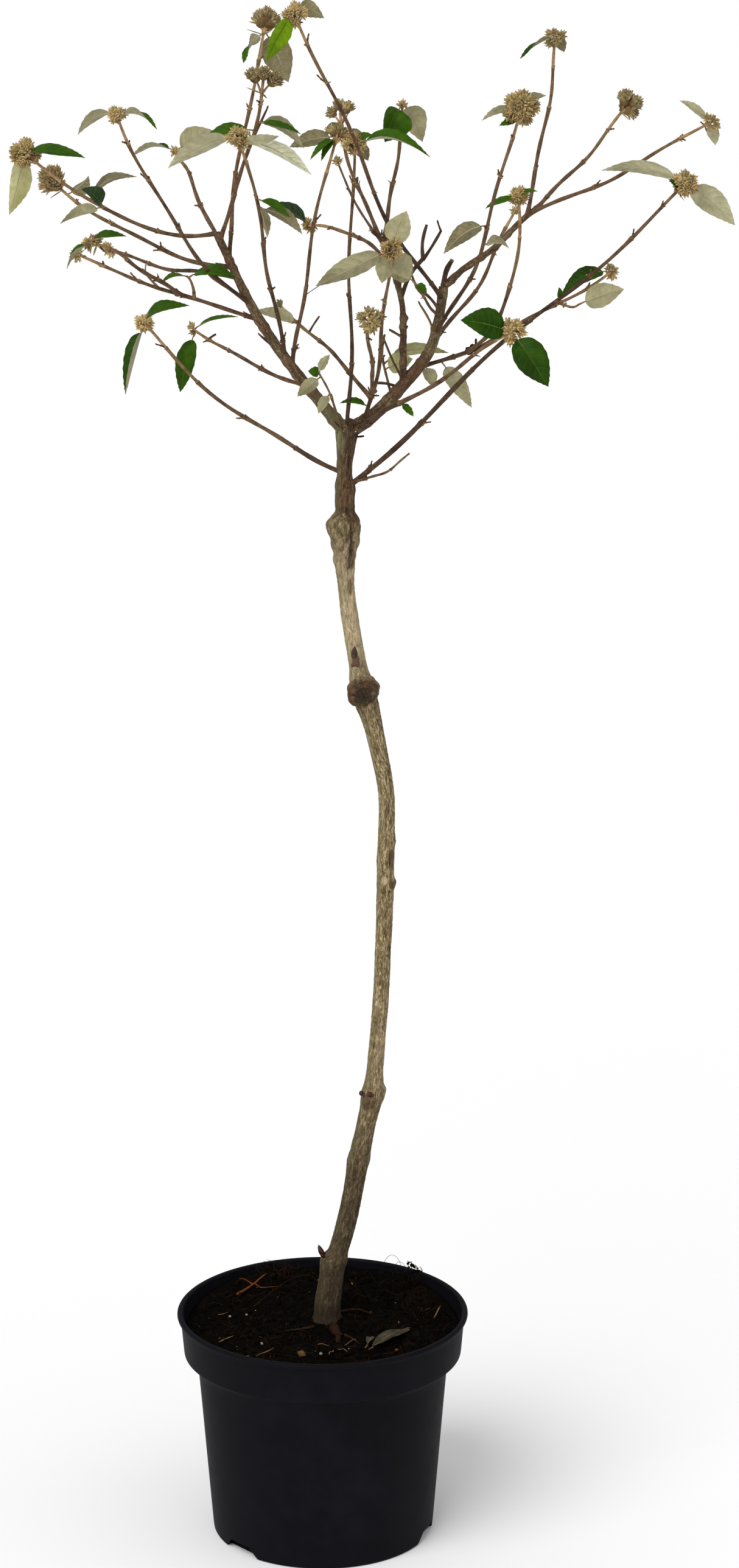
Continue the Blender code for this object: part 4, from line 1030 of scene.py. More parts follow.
# Marks on the trunk: height, side, reach up and round in mm, how brown and how dark each is, and its push.
SPOTS = (
    (624, -38, 9, 2.8, 0.85, 0.2, -0.8), (624, -60, 9, 1.0, 0.3, 0.7, -0.5), (605, -96, 3.8, 2.6, 0.0, -0.55, 0.9),
    (600, -24, 4.5, 4, 0.6, 0.7, 0.4), (400, -112, 7, 6.5, 0.6, 0.5, 0.5), (452, -112, 3, 1.6, 0.3, 0.7, -0.3),
    (668, -85, 6, 2, 0.3, 0.5, -0.6), (560, -40, 7, 3, 0.2, 0.2, -0.3), (470, -110, 8, 3, 0.2, 0.2, -0.3),
    (385, -60, 6, 3, 0.2, 0.2, -0.4), (330, -120, 10, 4, 0.2, 0.25, 0.4), (285, -75, 8, 4, 0.1, 0.3, 0.5),
    (725, -110, 9, 3, 0.2, 0.35, -0.3), (868, -60, 7, 2, 0.5, 0.5, -0.8), (893, -52, 9, 3, 0.7, 0.3, 0.8),
)


def bark_relief(up, around, girth, fissured):
    """How far bark stands out in mm at a height on a limb, and how deep in a cleft from 0 to 1, which darkens it partly
    as painted shade.
    """
    ring = Vector((cos(around) * girth, sin(around) * girth, 0))
    cleft = 1 - abs(noise.noise(ring * 0.4 + UP * up * 0.06)) / 0.11
    strip = noise.noise(ring * 0.85 + Vector((0, 11, up * 0.2)))
    swell = noise.noise(ring * 0.15 + Vector((7, 0, up * 0.04)))
    cross = 1 - abs(noise.noise(ring * 0.12 + Vector((0, 31, up * 0.3)))) / 0.06
    groove = max(0.0, cleft, 0.6 * cross)
    return 0.4 * swell + 0.3 * strip - fissured * groove, min(1.0, 0.55 * groove + max(0.0, -strip) * 0.3)


def trunk_bark(up, around, girth):
    """One point of the trunk's bark: how far it stands out in mm, and its marks."""
    turned = level_way(around)
    left = -turned.x
    relief, groove = bark_relief(up, around, girth / 2, 0.5 if 240 < up < 890 else 0.35)
    patch = noise.noise(turned * 1.7 + UP * up * 0.045)
    ragged = up + 7 * noise.noise(turned * 2.6 + UP * up * 0.02)
    lumpy = noise.noise(turned * 3.0 + UP * up * 0.13)
    graft = ramped(up, 872, 892) * (1 - ramped(up, 926, 940))
    relief += 1.5 * lumpy * graft
    # The graft's hollows are darkened too, as painted shade.
    groove = min(1, groove + max(0, -lumpy - 0.1) * 0.7 * graft)
    for high, degrees, tall, wide, push in KNOTS:
        if abs(up - high) < 3 * tall:
            away = turn_between(around, radians(degrees)) * girth / 2
            share = exp(-((up - high) / tall) ** 2 - (away / wide) ** 2)
            relief += push * share
            # A dent is darkened as painted shade in it.
            if push < 0:
                groove = min(1, groove + share * min(1, -push / 3))
    brown = dark = 0
    for high, degrees, tall, wide, brownish, darkened, push in SPOTS:
        if abs(up - high) < 2 * tall:
            away = turn_between(around, radians(degrees)) * girth / 2
            share = ramped(1.3 - hypot((up - high) / tall, away / wide) + 0.25 * lumpy, 0, 0.5)
            relief += push * share
            brown, dark = brown + brownish * share, dark + darkened * share
    scion = max(ramped(ragged, 922 + 9 * left, 933 + 9 * left), 0.35 * ramped(ragged, 880, 900),
                0.25 * ramped(patch, 0.25, 0.6))
    # Rust: brown spots, patches from the graft up, and patches on the left side that also paint that side's shade.
    rust = (brown + 0.55 * ramped(patch, 0.3, 0.6) * ramped(up, 870, 930)
            + 0.35 * ramped(-patch, 0.3, 0.6) * ramped(left, 0, 1))
    # Moss: olive at the fork's left and in patches, and over the whole left side as painted shade.
    moss = (0.7 * ramped(ragged, 985, 1005) * ramped(left, -0.2, 0.5) + 0.25 * ramped(-patch, 0.2, 0.5)
            + 0.3 * ramped(left, 0.2, 0.9))
    dirt = max(0.95 - 0.95 * ramped(ragged, 195, 260), 0.8 * (1 - ramped(ragged, 225, 320)),
               0.68 * (1 - ramped(up, 300, 460)), 0.25 * bell((up - 755) / 14))
    # Pale: a band up to the graft, pale spots, and a painted highlight round the trunk just above its middle knot,
    # strongest on the right.
    pale = (0.42 * ramped(ragged, 770, 815) * (1 - ramped(ragged, 890, 915)) + max(0, -dark)
            + 0.3 * bell((up - 440) / 24) * (0.6 - 0.4 * left))
    return relief, (turned.x * girth / 2 * MM, turned.y * girth / 2 * MM, up * MM,
                    min(1, max(0, groove + dark * 0.6)), scion, rust, moss, dirt, pale)


def make_trunk(piece):
    heights = np.arange(186.0, TRUNK[-1][0] + 0.1, 1.25)
    values = eased([row[0] for row in TRUNK], [row[1:] for row in TRUNK], heights)
    sides = 84
    grid, marks = blank(len(heights), sides)
    for row, (up, (right, back, girth)) in enumerate(zip(heights, values)):
        for side, around in enumerate(circle(sides)):
            relief, marks[row, side] = trunk_bark(up, around, girth)
            reach = girth / 2 + relief
            grid[row, side] = (right + reach * cos(around), back + reach * sin(around), up)
    grid *= MM
    piece.grid(grid, "bark", closed=True, marks=marks)
    piece.cap(grid[-1], "bark", 1, marks[-1], 3 * MM)


# The stub of the pruned limb, from its foot out and in over its end: reach in mm, and the radius's share.
STUB_PROFILE = ((0, 1.5), (5, 1.4), (8, 1.26), (9.5, 1.17), (10.8, 1.08), (11.6, 0.98), (12, 0.87), (11.5, 0.77),
                (11.1, 0.62), (11.4, 0.43), (11.2, 0.24), (11.5, 0.08))


def make_stub(piece, chance):
    """The pruned branch's stub on the front of the trunk: a lumpy callus round a dark cracked end."""
    centre = trunk_point(STUB_HEIGHT)
    out = Vector((0, -cos(STUB_TILT), sin(-STUB_TILT)))
    side, over = Vector((1, 0, 0)), Vector((0, -sin(STUB_TILT), cos(STUB_TILT)))
    sides = 48
    grid, marks = blank(len(STUB_PROFILE), sides)
    for row, (reach, share) in enumerate(STUB_PROFILE):
        for k, turn in enumerate(circle(sides)):
            away = level_way(turn)
            lumpy = noise.noise(away * 2.4 + UP * reach * 0.25)
            split = max(0.0, 1 - abs(noise.noise(away * (1.8 + share) + UP * 9)) / 0.12)
            radius = STUB_RADIUS * share * (1 + (0.2 * lumpy + 0.09 * sin(2 * turn + 0.6)) * min(1, share * 1.4))
            inside = share < 0.8 and reach > 11
            depth = (reach + 4.2 + (0.9 * lumpy - 0.8 * split * share if inside else 0.9 * lumpy)) * MM
            grid[row, k] = centre + out * depth + side * radius * cos(turn) + over * radius * sin(turn) * 1.08
            # Inside the cut it is dark all over and darker along its cracks, as painted shade; outside, rusty on the
            # callus's bumps and darker in its hollows, as painted shade.
            marks_and_shade = ((split, 0.4, 0, 0, 0.86) if inside else
                    (max(0, -lumpy) * 0.8, ramped(reach, 2, 8), 0.3 * ramped(lumpy, 0.1, 0.5), 0,
                     0.25 + 0.3 * ramped(-lumpy, 0, 0.5)))
            marks[row, k] = (away.x * radius, away.y * radius, 0.78 + depth * 6, *marks_and_shade, 0)
    piece.solid(grid, "bark", marks)

    def on_end(reach, turn, share=1.0):
        return centre + out * reach * MM + between(side, over, turn) * STUB_RADIUS * share

    for turn, size, look in ((2.6, 3.6, "knob"), (3.4, 3.0, "knob"), (1.9, 2.4, "cut_wood"), (0.2, 2.8, "cut_wood")):
        lump(piece, on_end(14.6, turn), size * MM, look, chance, 1.0, 10)
    for k in range(4):
        turn = k * 1.5 + chance.uniform(0.2, 0.9)
        line = [on_end(15.4, turn, s) for s in (0.1, chance.uniform(0.3, 0.45), chance.uniform(0.6, 0.8))]
        tube(piece, line, [0.3 * MM, 0.5 * MM, 0.2 * MM], 5, "cut_dark")
    # On the knob above it, a sleeping bud: a red-brown lump under a dark pointed scale.
    front = trunk_point(806) + mm(-0.8, -15.2, -2)
    for dx, dz, size in ((0, 0, 3.2), (1.8, -2.6, 2.4), (-2.2, -3.2, 1.8), (1.6, 2.2, 2.0)):
        lump(piece, front + mm(dx, 0.6, dz), size * MM, "knob", chance, 1.15, 10)
    bud(piece, front + mm(-1, 0.4, 2), (0.02, 0.12, 1), 11 * MM, 5.4 * MM, "scale_dark", chance, 0.05, 8, 0.45,
        np.array([0, 1.0, 0]))


class Wood(NamedTuple):
    """How a bough's bark is coloured: shares of the scion's colour, rust, moss at its foot, and moss in patches."""

    scion: float = 0.85
    rust: float = 0.15
    foot_moss: float = 0.0
    moss: float = 0.15


BOUGH_WOOD = {"left": Wood(scion=0.75, foot_moss=0.5), "right": Wood(scion=0.8, rust=0.28),
              "right_upper": Wood(), "centre": Wood(scion=0.95, moss=0.4)}
BOUGH_RING = 1.3  # mm from one ring of a bough's mesh to the next


def make_boughs(piece, lines):
    for limb in BOUGHS:
        line, wood = lines[limb.name], BOUGH_WOOD[limb.name]
        length = line.length / MM
        count = round(line.length / (BOUGH_RING * MM))
        sides = 36 if limb.girth[0] > 8 else 20
        points = np.array([line.at(i / count) for i in range(count + 1)])
        _, first, second = path_frames(points)
        chance = random.Random("knots " + limb.name)
        knots = [(chance.uniform(0.05, 0.97), chance.uniform(0, 2 * pi), chance.uniform(0.5, 1.4))
                 for _ in range(round(line.length / (15 * MM)))]
        collars = [place / length for place in np.arange(17, length, 33)]
        grid, marks = blank(count + 1, sides)
        for row in range(count + 1):
            share, up = row / count, row * BOUGH_RING
            girth = line.radius(share) / MM
            collar = 1 + 0.28 * exp(-up / 9)
            ringed = max([bell((share - at) * length / 2.2) for at in collars] + [0])
            for k, around in enumerate(circle(sides)):
                relief, groove = bark_relief(up + 50 * len(limb.name), around, girth, 0.22)
                relief = relief * 1.1 + 0.6 * ringed
                for spot, turn, push in knots:
                    away = turn_between(around, turn)
                    relief += push * exp(-(((share - spot) * length / 2.6) ** 2) - (away * girth / 2.2) ** 2)
                turned = between(first[row], second[row], around)
                grid[row, k] = points[row] + turned * (girth * collar + relief) * MM
                patch = noise.noise(Vector(grid[row, k]) * 45)
                moss = (wood.foot_moss * (1 - ramped(share, 0.12, 0.3)) * ramped(patch, -0.35, 0.3)
                        + wood.moss * ramped(-patch, 0, 0.4))
                # The bough's grooves are darkened, partly as painted shade in them.
                marks[row, k] = (
                    cos(around) * girth * MM, sin(around) * girth * MM, up * 2.2 * MM, groove * 0.7,
                    wood.scion + 0.3 * patch, 0.6 * ringed + wood.rust * ramped(patch, 0.1, 0.45), moss, 0, 0,
                )
        piece.grid(grid, "bark", closed=True, marks=marks)
        piece.cap(grid[0], "cut_wood", -1)
        piece.cap(grid[-1], "cut_wood", 1)


def peg(piece, foot, tip, girth, look, chance, top="cut_dark"):
    """A short dead or pruned twig with an uneven end."""
    bow = Vector((chance.uniform(-1, 1), chance.uniform(-1, 1), chance.uniform(-0.5, 1))) * (tip - foot).length * 0.08
    shares = np.linspace(0, 1, 7)
    line = [foot.lerp(tip, t) + bow * sin(pi * t) for t in shares]
    tube(piece, line, [girth * (1.25 - 0.3 * t + 0.12 * sin(9 * t + girth * 900)) for t in shares], 8, look)
    end = line[-1]
    aim = (end - line[-2]).normalized()
    tube(piece, [end - aim * 0.2 * MM, end + aim * 0.25 * MM], [girth * 1.02, girth * 0.8], 8, top)


# The red buds and the scaly knob on the right of the trunk's middle knot: right, (back,) up and size, in mm.
RED_BUDS = ((34.9, 12.6, 406.6, 2.3), (37.2, 10.6, 405.6, 1.9), (42, 6.9, 407.6, 2.4), (44.6, 7, 406.6, 1.6))
KNOB = ((38.6, 400, 2.2, "scale_dark"), (41.5, 402, 2.0, "cut_wood"), (42.5, 398, 2.4, "scale_dark"),
        (45.5, 401, 2.0, "cut_wood"), (40, 395.5, 1.9, "cut_wood"), (44.6, 395, 1.8, "scale_dark"))
# Pairs of buds on the trunk: height, side in degrees, length and width.
TRUNK_BUDS = ((251, 196, 11.5, 5.4), (408, 12, 2.6, 2.0), (1001, -170, 3.6, 1.5))


def make_bark(lines):
    """The trunk and its boughs as one mesh with relief, with the pruning cuts and buds that they carry."""
    chance = random.Random("bark")
    piece = Piece("bark_relief", "bark", ["trunk"] + [limb.node for limb in BOUGHS])
    make_trunk(piece)
    make_stub(piece, chance)
    make_boughs(piece, lines)
    for x, y, z, size in RED_BUDS:
        ball(piece, np.array((x, y, z)) * MM, size * MM, "red_bud", chance)
    for x, z, size, look in KNOB:
        lump(piece, mm(x, 9.0 + (x - 43) ** 2 / 18, z), size * MM, look, chance, 1.0, 10)
    for up, degrees, long, wide in TRUNK_BUDS:
        girth = float(eased([row[0] for row in TRUNK], [[row[3]] for row in TRUNK], [up])[0, 0]) / 2 * MM
        out = level_way(radians(degrees))
        for lean, size in ((0.12, 1.0), (-0.5, 0.6)):
            aim = (out * 0.6 + UP * (1 - abs(lean)) + out.cross(UP) * lean).normalized()
            bud(piece, trunk_point(up) + out * girth * 0.93 + out.cross(UP) * lean * 4 * MM, aim, long * size * MM,
                wide * size * MM, "red_bud", chance)
    # The dark cut at the fork, and the pegs to its right.
    front = Vector((-0.25, -1, 0.25)).normalized()
    disc = [trunk_point(994) + mm(1, 0, 3) + front * reach * MM for reach in (5, 8.0, 8.5, 8.6)]
    tube(piece, disc, [r * MM for r in (3.6, 3.2, 2.4, 1.2)], 16, "cut_dark")
    for foot_up, reach, lift in ((998, 9, 1), (1008, 15, 2)):
        start = trunk_point(foot_up) + mm(5, -2, 0)
        peg(piece, start, start + mm(reach, -3, lift), 0.8 * MM, "cut_dark", chance)
    piece.finish()


# -------- shoots


def bud(piece, root, aim, length, width, paint, chance, curl=0.18, sides=6, flat=1.0, normal=None, tip=None):
    """A pointed bud or scale: thick near its foot, drawn out to a tip that curls a little."""
    root, aim = np.array(root, float), unit(np.array(aim, float))
    sideways = np.array([chance.uniform(-1, 1) for _ in range(3)])
    sideways = unit(sideways - aim * (sideways @ aim)) if normal is None else -np.array(normal, float)
    points = [root + aim * length * t + sideways * curl * length * t * t for t in (0, 0.22, 0.52, 0.82, 1.0)]
    tube(piece, points, [width / 2 * s for s in (0.55, 1.0, 1.0, 0.6, 0.1)], sides, [paint] * 3 + [tip or paint],
         flat, None if normal is None else -sideways)


# The bark of a shoot from its tip down, by how many nodes are passed, and shoots whose bark is a year older.
SHOOT_BARK = ("twig_tip", "twig_tan", "twig_brown", "twig_brown", "twig_dark", "twig_dark", "twig_dark")
OLDER_SHOOTS = ("aa", "q", "c", "l")


def make_twig(piece, limb, line):
    """A shoot as one tube that swells below each node and steps in above it."""
    nodes = node_shares(line)
    length = line.length / MM
    count = max(12, round(length / 1.5))
    shares = sorted({i / count for i in range(count + 1)}
                    | {min(1, max(0, s + d / length)) for s in nodes for d in (-1.2, -0.5, 0.1, 0.6, 1.1)})
    points = np.array([line.at(s) for s in shares])
    _, first, second = path_frames(points)
    sides = 10 if limb.girth[0] > 4 else 8
    grid, looks = np.zeros((len(shares), sides, 3)), []
    for row, share in enumerate(shares):
        swell, plane = 1.0, 0.0
        for number, spot in enumerate(nodes):
            off = (share - spot) * length
            if off <= 0:
                push = 0.5 * exp(off / 4.5) + 0.22 * exp(off / 1.2)
            else:
                push = 0.72 * bell(off / 0.75)
            swell += push * 0.5
            if abs(off) < 6:
                plane = number * pi / 2
        swell += 0.55 * exp(-share * length / 3.5)
        radius = line.radius(share) * swell * (0.88 + 0.07 * sin(share * 37 + len(limb.name)))
        for k, turn in enumerate(circle(sides)):
            oval = 1 + (swell - 1) * 0.35 * cos(2 * (turn - plane))
            grain = 1 + 0.05 * noise.noise(Vector((cos(turn) * 2, sin(turn) * 2, share * length * 0.5)))
            grid[row, k] = points[row] + between(first[row], second[row], turn) * (radius * oval * grain)
        passed = sum(1 for spot in nodes if spot > share) + (limb.name in OLDER_SHOOTS)
        if limb.girth == TWIG:
            passed = min(passed + 1, 3)
        at_node = min((abs((share - spot) * length) for spot in nodes), default=99) < 0.5
        looks.append(SHOOT_BARK[max(min(passed, 6) - (at_node and passed < 5), 0)])
    piece.solid(grid, looks[:-1])
    return nodes


def make_nodes(piece, line, nodes, chance):
    """Bud pairs, leaf scars and the stubs of fallen petioles at a shoot's nodes."""
    for i, share in enumerate(nodes):
        for side in range(2):
            turn = i * pi / 2 + side * pi + chance.uniform(-0.25, 0.25)
            radius = line.radius(share)
            out = pair_direction(line, share, turn, pi / 2)
            root = line.at(share) + out * radius * 1.05
            if chance.random() < 0.5:
                aim = pair_direction(line, share, turn, radians(chance.uniform(12, 32)))
                bud(piece, root, aim, chance.uniform(1.8, 3.4) * MM, chance.uniform(1.2, 1.7) * MM,
                    chance.choice(("twig_bud", "twig_tan", "twig_brown")), chance, 0.12)
            if chance.random() < 0.6:
                lower = line.at(share) - line.heading(share) * 1.1 * MM + out * radius * 1.32
                lump(piece, lower, chance.uniform(0.5, 0.85) * MM, "scar", chance, 0.7)
            if chance.random() < 0.2:
                aim = pair_direction(line, share, turn + 0.4, radians(chance.uniform(45, 80)))
                bud(piece, root, aim, chance.uniform(2, 4) * MM, 0.9 * MM, "twig_brown", chance, 0.3, 5)


# A spur's path: shares of its length, and its radius there as a share of the CAD part's.
SPUR_SHAPE = ((0, 1.5), (0.2, 1), (0.4, 0.85), (0.55, 0.95), (0.62, 1.25), (0.7, 0.8), (0.9, 0.75), (1, 0.9))


def make_spurs(piece, limb, line, places):
    """Short side twigs at some nodes, by the CAD part's own rule, each with a node and a bud at its end."""
    chance = random.Random("spurs " + limb.name)
    dress = random.Random("spur dress " + limb.name)
    for i, share in enumerate(node_shares(line)):
        for side in range(2):
            length = chance.uniform(*SPUR_LENGTH)
            wanted = chance.random() < SPUR_CHANCE
            root = line.at(share)
            aim = pair_direction(line, share, i * pi / 2 + side * pi, SPUR_SPREAD)
            tip = root + aim * length
            if wanted and is_clear([root, root.lerp(tip, 0.5), tip], limb.node, places, CLEARANCE):
                tip, length = root.lerp(tip, SPUR_SHOWN), length * SPUR_SHOWN
                bend = aim.orthogonal().normalized() * dress.uniform(-0.06, 0.06) * length
                path = [root.lerp(tip, t) + bend * sin(pi * t) for t, _ in SPUR_SHAPE]
                tube(piece, path, [SPUR_RADIUS * s * 0.75 for _, s in SPUR_SHAPE], 7,
                     dress.choice(("twig_dark", "twig_brown")))
                if dress.random() < 0.6:
                    bud(piece, tip - aim * 0.5 * MM, aim, 2.4 * MM, 1.6 * MM, "twig_bud", dress)


# A blade's columns from edge to edge, where its rows lie between two side veins, and how far the veins sweep.
LEAF_COLUMNS = (-1, -0.955, -0.8, -0.56, -0.32, -0.11, -0.03, 0.03, 0.11, 0.32, 0.56, 0.8, 0.955, 1)
LEAF_PHASES = (0, 0.04, 0.28, 0.5, 0.72, 0.96)
VEIN_SWEEP = 0.75
LEAF_TWIST_STEPS = 12
VEINED_WIDTH = 16
# The way to the camera from the plant, for how squarely each blade is held.
TO_CAMERA = Vector((0, -0.966, 0.259))


def held_face(along, show, side):
    """The way a blade looks where it shows that much of itself to the camera, turned up or to one side."""
    square = (TO_CAMERA - along * TO_CAMERA.dot(along)).normalized()
    edge = along.cross(square)
    if (edge.x * side if side else edge.z) < 0:
        edge = -edge
    return (square * show + edge * sqrt(max(0.0, 1 - show * show))).normalized()


def blade_width(share):
    """A blade's half width at a share of its length, as a share of its widest: egg-shaped, drawn to a point."""
    return max(sin(pi * share ** 0.74), 0.0) ** (0.6 + 0.34 * share)


def make_leaf(piece, limb, line, number, places):
    """One leaf: a petiole and a midrib, and a blade of two faces quilted between its veins."""
    share, reach, rise, lean, arch, width = limb.leaves[number]
    chance = random.Random(f"leaf {limb.name} {number}")
    base = line.at(share)
    depth = -copysign(LEAF_DEPTH_SHARE * hypot(reach, rise) * MM, lean)
    tip = base + Vector((reach * MM, depth, rise * MM))
    axis = (tip - base).normalized()
    face = Vector((chance.uniform(*LEAF_TURN), -lean, 1))
    face = (face - axis * face.dot(axis)).normalized()
    fold = chance.uniform(*LEAF_FOLD)
    length = (tip - base).length

    def middle(part):
        return base.lerp(tip, part) + face * arch * length * 4 * part * (1 - part)

    if not is_clear([middle(part / 4) for part in range(1, 5)], limb.node, places, LEAF_CLEARANCE):
        return
    forms = LEAF_FORMS.get(limb.name, ())
    plain = (copysign(0.95, lean), copysign(0.95, lean), fold)
    first, last, fold, side = (*(forms[number] if number < len(forms) else plain), 0)[:4]
    turns = [held_face(axis, first + (last - first) * t / LEAF_TWIST_STEPS, side)
             for t in range(LEAF_TWIST_STEPS + 1)]
    green, felt = LEAF_TINTS[limb.name].split()[number]
    pairs = 8 if length > 42 * MM else 6 if length > 24 * MM else 4
    rows = [(k + phase) / pairs for k in range(pairs) for phase in LEAF_PHASES] + [1.0]
    wave, curl = chance.uniform(0, 6.3), chance.uniform(0.05, 0.16)
    size = width * MM / 2
    skew = chance.uniform(-0.04, 0.04)
    quilt = 0.42 * MM * min(1, width / VEINED_WIDTH)
    top, under = np.zeros((2, len(rows), len(LEAF_COLUMNS), 3))
    for r, u in enumerate(rows):
        phase = (u * pairs) % 1
        for c, v in enumerate(LEAF_COLUMNS):
            off = abs(v)
            along = min(1.0, u + VEIN_SWEEP * u * (1 - u) * off ** 1.4)
            up = turns[round(LEAF_TWIST_STEPS * along)]
            half = size * blade_width(along)
            tooth = MM * (0.5 - abs(phase - 0.5)) if off == 1 and 0.05 < along < 0.93 else 0
            x = v * half + copysign(tooth, v) + skew * half * (1 - v * v)
            soft = sqrt(x * x + (0.8 * MM) ** 2) - 0.8 * MM
            z = fold * soft - curl * soft * off ** 3 + 0.05 * size * sin(wave + 7 * along) * v * v
            z += quilt * sin(pi * phase) ** 0.7 * min(1, off * 2.2) * (1 - off ** 6) * (
                blade_width(along) ** 0.5)
            thick = 0.22 * MM * (1 - off ** 8)
            place = middle(PETIOLE_SHARE + (1 - PETIOLE_SHARE) * along) + up.cross(axis) * x + up * z
            on_vein = phase < 0.01 or phase > 0.99
            top[r, c] = place + up * (thick - (0.1 * MM if off < 0.05 else 0))
            under[r, c] = place - up * (thick + (0.12 * MM if on_vein else 0) * (1 - off ** 4))
    ribs = [c == len(LEAF_COLUMNS) // 2 - 1 or (r % len(LEAF_PHASES) == 5 and width >= VEINED_WIDTH and 1 < c < 11)
            for r in range(len(rows) - 1) for c in range(len(LEAF_COLUMNS) - 1)]
    piece.grid(top, ["leaf_rib" if rib else GREENS[green] for rib in ribs], flip=True)
    piece.grid(under, ["felt_rib" if rib else FELTS[felt] for rib in ribs])
    shares = [i / 22 for i in range(22)]
    path = [middle(t * 0.96) - turns[round(11 * t)] * (0.3 * MM if t > PETIOLE_SHARE else 0.0) for t in shares]
    radii = [0.85 * MM if t < 0.05 else 0.62 * MM if t < PETIOLE_SHARE else (0.6 - 0.5 * t) * MM for t in shares]
    tube(piece, path, radii, 6, ["petiole" if t < PETIOLE_SHARE else "felt_rib" for t in shares[:-1]])


# -------- heads


class Kind(NamedTuple):
    """A kind of flower-bud head: its scales' length and width, how far they close over, and their colours."""

    scale: tuple
    closing: float
    flat: float
    looks: tuple
    tip: str = "bud_tip"
    tipped: float = 0.12

    def is_closed(self):
        return self.closing > 0.3


CLASPING = Kind((5.4, 2.5), 0.42, 0.5, ("bud_olive", "bud_grey", "bud_olive", "bud_tan"), tipped=0.55)
FINGERED = Kind((4.8, 1.6), 0.08, 0.9, ("bud_gold", "bud_tan", "bud_gold", "bud_olive"))
STARRED = Kind((5.2, 2.1), 0.12, 0.7, ("bud_gold", "bud_tan", "bud_olive"), tipped=0.25)
COMBED = Kind((6.0, 2.4), 0.45, 0.55, ("bud_olive", "bud_grey"), "bud_shade", 0.8)
# The kind of head on each shoot. The others are STARRED.
KINDS = {
    "a": STARRED._replace(closing=0.3), "b": CLASPING._replace(closing=0.6, scale=(6.4, 2.2), looks=STARRED.looks[1:]),
    "e": FINGERED, "g": CLASPING, "h": CLASPING._replace(closing=0.55), "i": FINGERED, "j": CLASPING,
    "k": STARRED._replace(closing=0.4), "l": FINGERED, "n": FINGERED, "n_rear": COMBED, "o": FINGERED, "p": CLASPING,
    "n_front": STARRED._replace(scale=(6.2, 2.7), looks=("bud_tan", "bud_olive", "bud_olive")), "r": FINGERED,
    "s": STARRED._replace(looks=STARRED.looks[1:]), "t": CLASPING._replace(closing=0.5),
    "z_front": FINGERED._replace(scale=(5.4, 1.5)), "ab": FINGERED._replace(scale=(6.0, 1.9)),
    "ac": FINGERED._replace(looks=("bud_straw", "bud_straw", "bud_gold")),
}
CLOSED_WHORLS = (1.35, 1.05, 0.75, 0.45, 0.12)
OPEN_WHORLS = (1.75, 1.35, 0.98, 0.62, 0.3, 0.05)
ROUND_HEADS = ("b", "h", "j")


def golden(count, start=0.0):
    """Directions spread evenly over a ball."""
    for i in range(count):
        rise = 1 - 2 * (i + 0.5) / count
        level = sqrt(1 - rise * rise)
        turn = i * GOLDEN_TURN + start
        yield np.array([level * cos(turn), level * sin(turn), rise])


def scale_cluster(piece, centre, aim, radius, chance, kind):
    """A sub-head: whorls of scales on a small dome, the outer ones spread or closing in as its kind has it."""
    long, wide = kind.scale[0] * MM, kind.scale[1] * MM
    dome = max(radius - 0.75 * long, 0.8 * MM)
    ball(piece, centre, dome * 0.95, "bud_shade", chance)
    side = unit(np.cross(aim, (0.3, 0.5, 0.8)))
    other = np.cross(aim, side)
    for whorl, angle in enumerate(CLOSED_WHORLS if kind.is_closed() else OPEN_WHORLS):
        count = max(2, round(2 * pi * sin(angle) * (dome + 0.25 * long) / (wide * 1.02)))
        for k in range(count):
            turn = 2 * pi * (k + 0.5 * (whorl % 2)) / count + chance.uniform(-0.2, 0.2)
            out = between(side, other, turn)
            start = between(aim, out, angle)
            loose = unit(np.array([chance.gauss(0, 1) for _ in range(3)]))
            direction = unit(start * (1 - kind.closing) + aim * kind.closing + loose * 0.16)
            bud(piece, centre + start * dome * 0.8, direction, long * chance.uniform(0.78, 1.2),
                wide * chance.uniform(0.82, 1.15), chance.choice(kind.looks), chance, chance.uniform(-0.1, 0.22), 5,
                kind.flat, out, kind.tip if chance.random() < kind.tipped else None)


